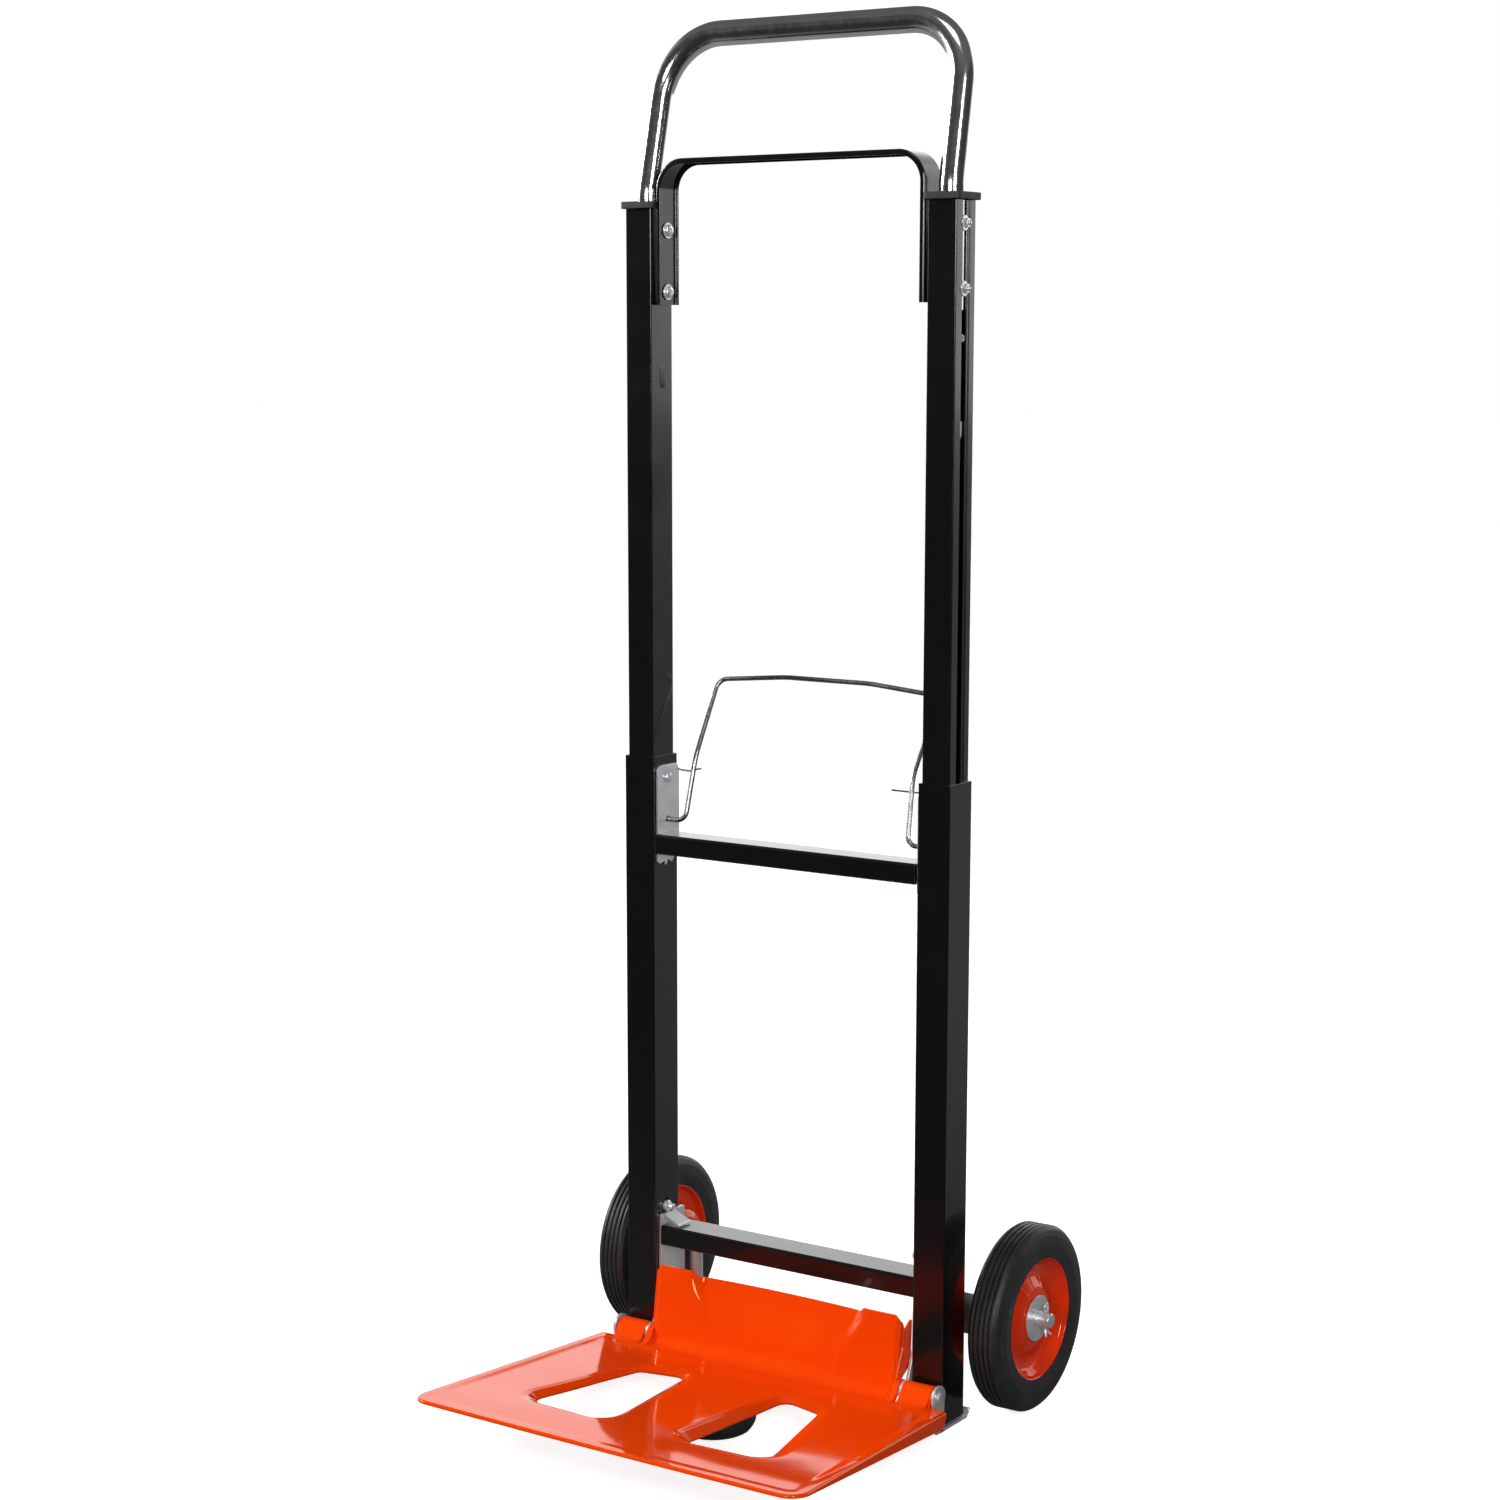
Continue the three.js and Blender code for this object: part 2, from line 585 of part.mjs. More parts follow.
function toePlateGeometry() {
  const rearStrip = box([-apron.half, apron.half], [toe.rear - 2, toe.rear + 4.5], [toe.height - 2.4, toe.height]);
  const body = join(deckGeometry(), rearStrip, apronGeometry(), knuckleGeometry(), mirrored(knuckleGeometry()));
  return cut(body, barX(hinge.pin + gap, -railX - 20, railX + 20, hinge.y, hinge.z));
}

// a round rubber foot whose top follows the sloping underside of the deck
function padFootGeometry() {
  const ring = (radius, height) => Array.from({ length: 24 }, (_, i) => {
    const angle = i / 24 * 2 * Math.PI;
    const y = padFoot.y + radius * Math.sin(angle);
    return at(radius * Math.cos(angle), y, height(y));
  });
  return loft([
    ring(padFoot.radius - 6, () => 0),
    ring(padFoot.radius - 1, () => 4),
    ring(padFoot.radius, () => 10),
    ring(padFoot.radius - 3, (y) => deckZ(y) - toe.sheet - gap),
  ]);
}

function buildToePlate() {
  add('toe_plate', toePlateGeometry(), orange);
  add('toe_foot', padFootGeometry(), rubber);
}

// ---------- wheels ----------
const legX = 149.7;                                // wheel bracket's outer leg

function wheelBracketGeometry() {
  const { x, y, knuckle, bottom, top } = wheelPin;
  const leg = new THREE.Shape();
  leg.moveTo(y + 3.3, bottom);
  leg.lineTo(wheel.y, wheel.radius - 18);
  leg.absarc(wheel.y, wheel.radius, 18, -Math.PI / 2, Math.PI / 2);
  leg.lineTo(y + 3.3, top);
  return cut(
    join(
      barZ(knuckle, x, y, bottom, top, 14),
      box([x, legX + 2.3], [y + 3.3, y + knuckle], [bottom, top]),
      prismX(leg, legX, legX + 2.3),
    ),
    barZ(wheelPin.radius + gap, x, y, bottom - 2, top + 2),
    barX(wheel.axle + gap, legX - 2, legX + 5, wheel.y, wheel.radius, 16),
  );
}

function axleGeometry() {
  const shaft = turnedX([
    [0, legX - 4.3], [7, legX - 4.3], [9, legX - 3], [9, legX - gap], [wheel.axle, legX - gap], [wheel.axle, 201.8],
    [wheel.axle - 1, 202.8], [0, 202.8],
  ], 16).translate(0, wheel.y, wheel.radius);
  return cut(shaft, barZ(2, 197.8, wheel.y, wheel.radius - 9, wheel.radius + 9, 8));
}

const tyreProfile = () => {
  const grooves = [173, 177.4, 181.8, 186.2].flatMap((x) => [[75, x - 0.9], [73.5, x], [75, x + 0.9]]);
  return [
    [52.3, 165.6], [60, 164.6], [68, 165.3], [73, 167.3], [75, 169.7], ...grooves, [75, 189.2], [73, 191.6], [68, 193.6],
    [60, 194.3], [52.3, 193.3], [52.3, 165.6],
  ];
};

const outerRimProfile = [
  [6.6, 182.6], [6.6, 188.8], [10, 188.8], [14, 186.6], [26, 184.8], [35, 182.6], [42, 183.6], [46.5, 187.8], [48.6, 194.7],
  [51.7, 195], [51.7, 193.2], [50.2, 192.8], [48.4, 186.4], [43.4, 181.2], [34, 180.6], [24, 182.8], [6.6, 182.6],
];

const innerRimProfile = [
  [6.6, 154.8], [22, 154.8], [28, 157.8], [30.5, 172.8], [35, 179], [43.4, 179], [48.4, 174.4], [50.2, 168],
  [51.7, 167.6], [51.7, 165.8], [48.6, 166.1], [46.5, 171.8], [42, 176.4], [36.5, 176.2], [32.4, 169.8], [30, 155.8],
  [24, 152.8], [6.6, 152.8], [6.6, 154.8],
];

function washerGeometry() {
  return turnedX([[6.4, 189.2], [6.4, 190.8], [18.4, 190.8], [18.4, 189.2], [6.4, 189.2]].reverse(), 20);
}

// split pin through the axle: round eye above, legs spread below
function splitPinGeometry() {
  const z = wheel.radius;
  const shank = tubeAlong([
    at(197.8, wheel.y, z + 9), at(197.8, wheel.y, z - 9), at(198.8, wheel.y, z - 12), at(201.8, wheel.y, z - 14),
  ], 1.6, 6);
  const eye = new THREE.TorusGeometry(3, 1.2, 6, 10).rotateY(Math.PI / 2).translate(197.8, wheel.y, z + 11);
  return join(shank, eye);
}

function buildWheels() {
  addPair('wheel_bracket', wheelBracketGeometry(), zinc);
  addPair('axle', axleGeometry(), zinc);
  addPair('axle_washer', washerGeometry().translate(0, wheel.y, wheel.radius), zinc);
  addPair('split_pin', splitPinGeometry(), zinc);
  for (const [side, turn] of [['right', 0], ['left', Math.PI]]) {
    const hub = new THREE.Group();
    hub.position.set(0, wheel.y, wheel.radius);
    hub.rotation.z = turn;
    truck.add(hub);
    add(`tyre_${side}`, turnedX(tyreProfile(), 28), rubber, hub);
    add(`rim_outer_${side}`, turnedX(outerRimProfile.toReversed(), 24), rimRed, hub);
    add(`rim_inner_${side}`, turnedX(innerRimProfile.toReversed(), 24), rimRed, hub);
    add(`wheel_bush_${side}`, turnedX([[6.4, 155.1], [6.4, 182.2], [8.8, 182.2], [8.8, 155.1], [6.4, 155.1]].reverse(), 14),
      capPlastic, hub);
  }
}

buildLowerFrame();
buildUpperFrame();
add('bail', bailGeometry(), chrome);
buildToePlate();
buildWheels();

const group = new THREE.Group();
group.add(truck);
export default group;
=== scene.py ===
import math
import bmesh
import bpy
from mathutils import Matrix, Vector, noise
from mathutils.geometry import delaunay_2d_cdt


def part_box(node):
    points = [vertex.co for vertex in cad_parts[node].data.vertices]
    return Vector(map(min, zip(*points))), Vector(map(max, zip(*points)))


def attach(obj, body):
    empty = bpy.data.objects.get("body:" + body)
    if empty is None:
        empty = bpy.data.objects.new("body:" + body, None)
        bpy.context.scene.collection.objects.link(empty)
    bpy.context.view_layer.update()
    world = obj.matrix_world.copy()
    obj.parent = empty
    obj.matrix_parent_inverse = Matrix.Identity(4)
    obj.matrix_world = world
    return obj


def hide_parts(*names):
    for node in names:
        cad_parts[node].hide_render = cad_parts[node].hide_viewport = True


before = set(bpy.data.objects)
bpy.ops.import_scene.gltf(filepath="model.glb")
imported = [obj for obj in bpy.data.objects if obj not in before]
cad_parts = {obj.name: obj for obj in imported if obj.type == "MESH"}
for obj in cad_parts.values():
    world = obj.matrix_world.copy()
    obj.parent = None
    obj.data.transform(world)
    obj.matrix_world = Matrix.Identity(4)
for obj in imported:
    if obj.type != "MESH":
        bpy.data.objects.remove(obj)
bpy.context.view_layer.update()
print("frame loaded:", len(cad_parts), "nodes")

# everything below is drawn in millimetres, with y = 0 in the middle of the uprights
mm = 0.001
gap = 0.3                       # left between neighbouring pieces
railLow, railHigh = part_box("lower_tube_right")
railX = (railLow.x + railHigh.x) / 2 / mm
toFrame = Matrix.Translation((0, (railLow.y + railHigh.y) / 2, 0)) @ Matrix.Scale(mm, 4)
mirrorX = Matrix.Diagonal((-1, 1, 1, 1))


# ---- finishes ----

def newMaterial(name, look):
    material = bpy.data.materials.new(name)
    material.use_nodes = True
    nodes, links = material.node_tree.nodes, material.node_tree.links
    shader = nodes["Principled BSDF"]
    for socket, value in look.items():
        shader.inputs[socket].default_value = value
    place = nodes.new("ShaderNodeTexCoord").outputs["Object"]
    return material, nodes, links, shader, place


def addNoise(nodes, links, place, scale, detail=3.0, stretch=None):
    if stretch:
        mapping = nodes.new("ShaderNodeMapping")
        mapping.inputs["Scale"].default_value = stretch
        links.new(place, mapping.inputs["Vector"])
        place = mapping.outputs["Vector"]
    texture = nodes.new("ShaderNodeTexNoise")
    texture.inputs["Scale"].default_value = scale
    texture.inputs["Detail"].default_value = detail
    links.new(place, texture.inputs["Vector"])
    return texture.outputs["Fac"]


def addRamp(nodes, links, source, stops):
    ramp = nodes.new("ShaderNodeValToRGB")
    elements = ramp.color_ramp.elements
    while len(elements) < len(stops):
        elements.new(0.5)
    for element, (position, colour) in zip(elements, stops):
        element.position = position
        element.color = colour if len(colour) == 4 else (*colour, 1)
    links.new(source, ramp.inputs["Fac"])
    return ramp.outputs["Color"]


def grey(value):
    return (value, value, value)


def addBump(nodes, links, shader, height, strength, distance):
    bump = nodes.new("ShaderNodeBump")
    bump.inputs["Strength"].default_value = strength
    bump.inputs["Distance"].default_value = distance
    links.new(height, bump.inputs["Height"])
    links.new(bump.outputs["Normal"], shader.inputs["Normal"])


def setColour(nodes, links, shader, source, stops):
    links.new(addRamp(nodes, links, source, stops), shader.inputs["Base Color"])


def setRoughness(nodes, links, shader, source, rough, span=(0.3, 0.8)):
    stops = [(span[0], grey(rough[0])), (span[1], grey(rough[1]))]
    links.new(addRamp(nodes, links, source, stops), shader.inputs["Roughness"])


blackCoatLook = {"base": (0.0042, 0.0040, 0.0042), "dust": (0.020, 0.020, 0.022), "rough": (0.13, 0.22),
                 "peel": 0.015}


def makeBlackCoat():
    # nearly black powder coat with the odd dust speck in it
    look = blackCoatLook
    material, nodes, links, shader, place = newMaterial("blackPowderCoat", {
        "Specular IOR Level": 0.5, "Coat Weight": 0.35, "Coat Roughness": 0.07})
    cloud = addNoise(nodes, links, place, 26, 4)
    specks = addNoise(nodes, links, place, 900, 1)
    setColour(nodes, links, shader, specks, [(0.0, look["base"]), (0.72, look["base"]), (0.8, look["dust"])])
    setRoughness(nodes, links, shader, cloud, look["rough"], (0.3, 0.75))
    addBump(nodes, links, shader, addNoise(nodes, links, place, 420, 2), look["peel"], 0.0004)
    return material


orangeLook = {"base": (0.84, 0.058, 0.0006), "shade": (0.79, 0.049, 0.0004), "rough": (0.05, 0.10),
              "tint": (1.0, 0.4, 0.1), "peel": 0.03}
rimLook = {"base": (0.82, 0.045, 0.006), "shade": (0.70, 0.030, 0.004), "rough": (0.08, 0.16),
           "tint": (1.0, 0.5, 0.3), "peel": 0.03}


def makeGlossPaint(name, look):
    # two close tones, so that thin and thick paint differ a little; square on, its reflections take the tint
    material, nodes, links, shader, place = newMaterial(name, {
        "Specular IOR Level": 0.6, "Specular Tint": (*look["tint"], 1), "Coat Weight": 0.12,
        "Coat Roughness": 0.04})
    cloud = addNoise(nodes, links, place, 14, 3)
    setColour(nodes, links, shader, cloud, [(0.3, look["shade"]), (0.7, look["base"])])
    streak = addNoise(nodes, links, place, 60, 4)
    setRoughness(nodes, links, shader, streak, look["rough"])
    addBump(nodes, links, shader, addNoise(nodes, links, place, 320, 2), look["peel"], 0.0005)
    return material


chromeLook = {"dark": (0.66, 0.655, 0.67), "light": (0.78, 0.775, 0.785), "rough": (0.13, 0.20)}


def makeChrome():
    look = chromeLook
    material, nodes, links, shader, place = newMaterial("brightChrome", {
        "Metallic": 1.0, "Specular IOR Level": 0.5})
    cloud = addNoise(nodes, links, place, 40, 3)
    setColour(nodes, links, shader, cloud, [(0.3, look["dark"]), (0.7, look["light"])])
    haze = addNoise(nodes, links, place, 180, 4)
    setRoughness(nodes, links, shader, haze, look["rough"], (0.35, 0.8))
    addBump(nodes, links, shader, addNoise(nodes, links, place, 90, 2), 0.03, 0.0004)
    return material


steelWireLook = {"dark": (0.33, 0.33, 0.34), "light": (0.45, 0.45, 0.46), "rough": (0.24, 0.38)}


def makeSteelWire():
    # drawn wire under thin bright plating: softer reflections than the handle
    look = steelWireLook
    material, nodes, links, shader, place = newMaterial("steelWire", {"Metallic": 1.0})
    cloud = addNoise(nodes, links, place, 60, 3)
    setColour(nodes, links, shader, cloud, [(0.3, look["dark"]), (0.7, look["light"])])
    drawn = addNoise(nodes, links, place, 300, 3)
    setRoughness(nodes, links, shader, drawn, look["rough"])
    addBump(nodes, links, shader, drawn, 0.05, 0.0002)
    return material


zincLook = {"blue": (0.72, 0.76, 0.79), "plain": (0.83, 0.85, 0.86), "straw": (0.87, 0.85, 0.80),
            "rough": (0.29, 0.36), "spangle": 420}


def makeZinc():
    # clear zinc plate: fine spangle, faint blue and straw tints
    look = zincLook
    material, nodes, links, shader, place = newMaterial("zincPlate",
                                                        {"Metallic": 0.72, "Specular IOR Level": 0.6})
    cell = nodes.new("ShaderNodeTexVoronoi")
    cell.inputs["Scale"].default_value = look["spangle"]
    links.new(place, cell.inputs["Vector"])
    tint = addNoise(nodes, links, place, 45, 3)
    setColour(nodes, links, shader, tint, [(0.3, look["blue"]), (0.55, look["plain"]), (0.8, look["straw"])])
    setRoughness(nodes, links, shader, cell.outputs["Color"], look["rough"], (0.0, 1.0))
    brushed = addNoise(nodes, links, place, 260, 3, (1, 1, 0.12))
    addBump(nodes, links, shader, brushed, 0.12, 0.0003)
    return material


capPlasticLook = {"base": (0.016, 0.016, 0.018), "light": (0.026, 0.026, 0.029), "rough": (0.48, 0.62),
                  "grain": 900, "depth": 0.2}
tyreLook = {"base": (0.013, 0.013, 0.014), "light": (0.024, 0.024, 0.025), "rough": (0.38, 0.56),
            "grain": 700, "depth": 0.18}
footRubberLook = {"base": (0.010, 0.010, 0.010), "light": (0.018, 0.018, 0.018), "rough": (0.55, 0.7),
                  "grain": 600, "depth": 0.25}


def makeGrained(name, look):
    material, nodes, links, shader, place = newMaterial(name, {"Specular IOR Level": 0.4})
    cloud = addNoise(nodes, links, place, 70, 5)
    setColour(nodes, links, shader, cloud, [(0.35, look["base"]), (0.75, look["light"])])
    mottled = addNoise(nodes, links, place, 130, 4)
    setRoughness(nodes, links, shader, mottled, look["rough"])
    addBump(nodes, links, shader, addNoise(nodes, links, place, look["grain"], 3), look["depth"], 0.0003)
    return material


# finish name: (material, the record's slot)
finishes = {
    "black": (makeBlackCoat(), "black_coat"),
    "orange": (makeGlossPaint("orangeGloss", orangeLook), "orange_coat"),
    "rimRed": (makeGlossPaint("rimRedGloss", rimLook), "rim_coat"),
    "chrome": (makeChrome(), "bright_chrome"),
    "wire": (makeSteelWire(), "bright_chrome"),
    "zinc": (makeZinc(), "zinc_plate"),
    "capPlastic": (makeGrained("capPlastic", capPlasticLook), "cap_plastic"),
    "tyre": (makeGrained("tyreRubber", tyreLook), "tyre_rubber"),
    "footRubber": (makeGrained("footRubber", footRubberLook), "foot_rubber"),
}
print("finishes ready:", len(finishes))


# ---- making and placing meshes ----

def meshFrom(points, faces):
    mesh = bpy.data.meshes.new("drawn")
    mesh.from_pydata([tuple(p) for p in points], [], faces)
    mesh.update()
    return mesh


def cleaned(mesh, merge=0.001):
    work = bmesh.new()
    work.from_mesh(mesh)
    bmesh.ops.remove_doubles(work, verts=work.verts, dist=merge)
    bmesh.ops.recalc_face_normals(work, faces=work.faces)
    work.to_mesh(mesh)
    work.free()
    return mesh


def joined(*meshes):
    work = bmesh.new()
    for mesh in meshes:
        work.from_mesh(mesh)
    result = bpy.data.meshes.new("joined")
    work.to_mesh(result)
    work.free()
    return result


def moved(mesh, matrix):
    copy = mesh.copy()
    copy.transform(matrix)
    if matrix.determinant() < 0:
        copy.flip_normals()
    return copy


def shifted(mesh, x=0.0, y=0.0, z=0.0):
    return moved(mesh, Matrix.Translation((x, y, z)))


def drilled(mesh, *cutters):
    # cuts with the boolean modifier and keeps the result
    scene = bpy.context.scene
    body = bpy.data.objects.new("body", mesh)
    scene.collection.objects.link(body)
    helpers = []
    for cutter in cutters:
        helper = bpy.data.objects.new("cutter", cutter)
        scene.collection.objects.link(helper)
        modifier = body.modifiers.new("cut", "BOOLEAN")
        modifier.operation = "DIFFERENCE"
        modifier.solver = "EXACT"
        modifier.object = helper
        helpers.append(helper)
    graph = bpy.context.evaluated_depsgraph_get()
    result = bpy.data.meshes.new_from_object(body.evaluated_get(graph))
    for item in [body, *helpers]:
        bpy.data.objects.remove(item)
    return result


def show(name, mesh, finish, body, replaced, crease=38):
    mesh = moved(mesh, toFrame)
    material, slot = finishes[finish]
    mesh.materials.clear()
    mesh.materials.append(material)
    mesh.shade_smooth()
    mesh.set_sharp_from_angle(angle=math.radians(crease))
    mesh.name = name
    piece = bpy.data.objects.new(name, mesh)
    bpy.context.scene.collection.objects.link(piece)
    weighted = piece.modifiers.new("flatFaces", "WEIGHTED_NORMAL")
    weighted.keep_sharp = True
    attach(piece, body)
    if replaced:
        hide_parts(*replaced)
    return piece


def showPair(name, mesh, finish, body, node=None, **options):
    # drawn for the right-hand side, repeated mirrored on the left
    for side, turn in (("right", Matrix.Identity(4)), ("left", mirrorX)):
        nodes = [f"{node}_{side}"] if node else []
        show(f"{name}_{side}", moved(mesh, turn), finish, body.format(side=side), nodes, **options)


# ---- outlines ----

def arcPoints(centre, radius, start, end, steps):
    turns = [math.radians(start + (end - start) * i / steps) for i in range(steps + 1)]
    return [(centre[0] + radius * math.cos(a), centre[1] + radius * math.sin(a)) for a in turns]


def roundCorners(points, radius, steps=6, closed=True):
    # each point is (x, y) or (x, y, own radius)
    result = []
    count = len(points)
    for i, point in enumerate(points):
        own = point[2] if len(point) > 2 else radius
        here = Vector(point[:2])
        if own <= 0 or (not closed and i in (0, count - 1)):
            result.append(tuple(here))
            continue
        back = (Vector(points[i - 1][:2]) - here)
        ahead = (Vector(points[(i + 1) % count][:2]) - here)
        half = back.angle(ahead) / 2
        if half > math.radians(88):
            result.append(tuple(here))
            continue
        reach = min(own / math.tan(half), back.length * 0.48, ahead.length * 0.48)
        own = reach * math.tan(half)
        centre = here + (back.normalized() + ahead.normalized()).normalized() * own / math.sin(half)
        start = here + back.normalized() * reach - centre
        end = here + ahead.normalized() * reach - centre
        turn = start.angle_signed(end)
        for s in range(steps + 1):
            result.append(tuple(centre + Matrix.Rotation(-turn * s / steps, 2) @ start))
    return result


def boxOutline(width, depth, radius, steps=6, centre=(0, 0)):
    w, d = width / 2, depth / 2
    corners = [(centre[0] + x * w, centre[1] + y * d) for x, y in ((1, -1), (1, 1), (-1, 1), (-1, -1))]
    return roundCorners(corners, radius, steps)


def ringOutline(radius, centre=(0, 0), steps=32):
    return arcPoints(centre, radius, 0, 360, steps)[:-1]


# ---- solids ----

def slab(outer, holes, low, high, edge=0.3):
    # a plate with holes and softened edges, cut from a filled flat curve
    curve = bpy.data.curves.new("slab", "CURVE")
    curve.dimensions = "2D"
    curve.fill_mode = "BOTH"
    curve.extrude = (high - low) / 2 - edge
    curve.bevel_depth = edge
    curve.bevel_resolution = 2
    curve.offset = -edge
    for loop in [outer, *holes]:
        spline = curve.splines.new("POLY")
        spline.points.add(len(loop) - 1)
        for point, (x, y) in zip(spline.points, loop):
            point.co = (x, y, 0, 1)
        spline.use_cyclic_u = True
    holder = bpy.data.objects.new("slab", curve)
    bpy.context.scene.collection.objects.link(holder)
    graph = bpy.context.evaluated_depsgraph_get()
    mesh = bpy.data.meshes.new_from_object(holder.evaluated_get(graph))
    bpy.data.objects.remove(holder)
    mesh.transform(Matrix.Translation((0, 0, (low + high) / 2)))
    return cleaned(mesh)


# the slab's own x, y, z laid along other axes
# alongX: outline is (y, z), thickness along x; alongY: outline is (x, z), thickness along -y
alongX = Matrix(((0, 0, 1, 0), (1, 0, 0, 0), (0, 1, 0, 0), (0, 0, 0, 1)))
alongY = Matrix(((1, 0, 0, 0), (0, 0, -1, 0), (0, 1, 0, 0), (0, 0, 0, 1)))


def plateX(outer, holes, low, high, edge=0.3):
    return moved(slab(outer, holes, low, high, edge), alongX)


def plateY(outer, holes, low, high, edge=0.3):
    return moved(slab(outer, holes, -high, -low, edge), alongY)


def turned(profile, steps=48, closed=False):
    # (radius, distance along x) points spun about the x axis
    points, faces = [], []
    rows = len(profile)
    for s in range(steps):
        angle = 2 * math.pi * s / steps
        for radius, x in profile:
            points.append((x, radius * math.sin(angle), radius * math.cos(angle)))
    span = rows if closed else rows - 1
    for s in range(steps):
        t = (s + 1) % steps
        for r in range(span):
            q = (r + 1) % rows
            faces.append((s * rows + r, s * rows + q, t * rows + q, t * rows + r))
    return cleaned(meshFrom(points, faces), 0.0005)


def turnedBar(radius, low, high, chamfer=0.4, steps=28):
    return turned([(0, low), (radius - chamfer, low), (radius, low + chamfer), (radius, high - chamfer),
                   (radius - chamfer, high), (0, high)], steps)


def plainBar(radius, low, high, steps=28):
    return turned([(0, low), (radius, low), (radius, high), (0, high)], steps)


quarterZ = Matrix.Rotation(math.radians(-90), 4, "Y")      # lays the x axis along z


def bendRun(corners):
    # corners are (point, radius, steps); straight stretches stay straight
    run = []
    for i, (point, radius, steps) in enumerate(corners):
        point = Vector(point)
        if not radius:
            run.append(point)
            continue
        back = (Vector(corners[i - 1][0]) - point).normalized()
        ahead = (Vector(corners[i + 1][0]) - point).normalized()
        half = back.angle(ahead) / 2
        centre = point + (back + ahead).normalized() * radius / math.sin(half)
        start = point + back * radius / math.tan(half) - centre
        end = point + ahead * radius / math.tan(half) - centre
        axis = start.cross(end).normalized()
        for s in range(steps + 1):
            run.append(centre + Matrix.Rotation(start.angle(end) * s / steps, 3, axis) @ start)
    return run


def swept(run, section, bore=None):
    # carries a closed section of (side, up) points along a run, with flat ends
    loops = [section] + ([bore] if bore else [])
    tangents = []
    for i in range(len(run)):
        ahead = run[min(i + 1, len(run) - 1)] - run[max(i - 1, 0)]
        tangents.append(ahead.normalized())
    side = tangents[0].orthogonal().normalized()
    rings = []
    for i, point in enumerate(run):
        side = (side - tangents[i] * side.dot(tangents[i])).normalized()
        up = tangents[i].cross(side)
        rings.append([[point + side * a + up * b for a, b in loop] for loop in loops])
    points, faces = [], []
    base = []
    for ring in rings:
        base.append([])
        for loop in ring:
            base[-1].append(len(points))
            points.extend(loop)
    for r in range(len(rings) - 1):
        for k, loop in enumerate(loops):
            n = len(loop)
            for i in range(n):
                j = (i + 1) % n
                a, b = base[r][k], base[r + 1][k]
                faces.append((a + i, a + j, b + j, b + i))
    for r in (0, len(rings) - 1):
        n = len(section)
        if bore:
            a, b = base[r]
            faces.extend((a + i, a + (i + 1) % n, b + (i + 1) % n, b + i) for i in range(n))
        else:
            faces.append(tuple(range(base[r][0], base[r][0] + n)))
    return cleaned(meshFrom(points, faces))


def wire(run, radius, sides=16):
    return swept(run, ringOutline(radius, steps=sides))


# ---- camera ----
camera = {"place": (1232.5, -1907.9, 843.3), "yaw": 34.05, "pitch": 9.5, "focal": 69.59,
          "shift": (0.0108, 0.0525)}


def setCamera():
    yaw, pitch = math.radians(camera["yaw"]), math.radians(camera["pitch"])
    ahead = Vector((-math.sin(yaw) * math.cos(pitch), math.cos(yaw) * math.cos(pitch), -math.sin(pitch)))
    right = Vector((math.cos(yaw), math.sin(yaw), 0))
    up = right.cross(ahead)
    turn = Matrix((right, up, -ahead)).transposed().to_4x4()
    data = bpy.data.cameras.new("studioCamera")
    data.sensor_width = 36
    data.lens = camera["focal"]
    data.shift_x, data.shift_y = camera["shift"]
    data.clip_end = 50
    holder = bpy.data.objects.new("studioCamera", data)
    holder.matrix_world = Matrix.Translation(toFrame @ Vector(camera["place"])) @ turn
    bpy.context.scene.collection.objects.link(holder)
    bpy.context.scene.camera = holder


# ---- studio ----
studio = {
    "floorTone": 0.80, "floorGlow": 0.75, "floorSize": 60.0,
    # what the floor sends back to the object on its near and far side, and where one turns into the other (m)
    "floorFront": 0.03, "floorBack": 0.28, "floorEdge": (-0.35, 0.7),
    "worldFront": 0.05, "worldBack": 1.6, "edge": (0.02, 0.5), "backdrop": 1.0,
    "ceiling": 0.12, "bandTop": (0.42, 0.62),       # the bright sweep ends here and the ceiling is dark
    "lights": [
        # place (m), aim (m), size (m), power (W)
        ((-2.9, -1.2, 1.7), (0, 0, 0.4), (0.6, 1.0), 95),
        ((2.6, -1.9, 1.6), (0, 0, 0.4), (0.7, 1.4), 55),
        ((0.3, -0.9, 3.0), (0, 0, 0.2), (1.0, 0.7), 8),
        ((0.9, -3.6, 1.3), (0, 0, 0.3), (1.2, 0.7), 45),
    ],
}


def awayFromCamera(nodes, links, place, low, high, near, far):
    # grows from near to far with the distance behind the object
    yaw = math.radians(camera["yaw"])
    away = nodes.new("ShaderNodeVectorMath")
    away.operation = "DOT_PRODUCT"
    away.inputs[1].default_value = (-math.sin(yaw), math.cos(yaw), 0)
    links.new(place, away.inputs[0])
    spread = nodes.new("ShaderNodeMapRange")
    spread.interpolation_type = "SMOOTHSTEP"
    for socket, value in {"From Min": low, "From Max": high, "To Min": near, "To Max": far}.items():
        spread.inputs[socket].default_value = value
    links.new(away.outputs["Value"], spread.inputs["Value"])
    return spread.outputs["Result"]


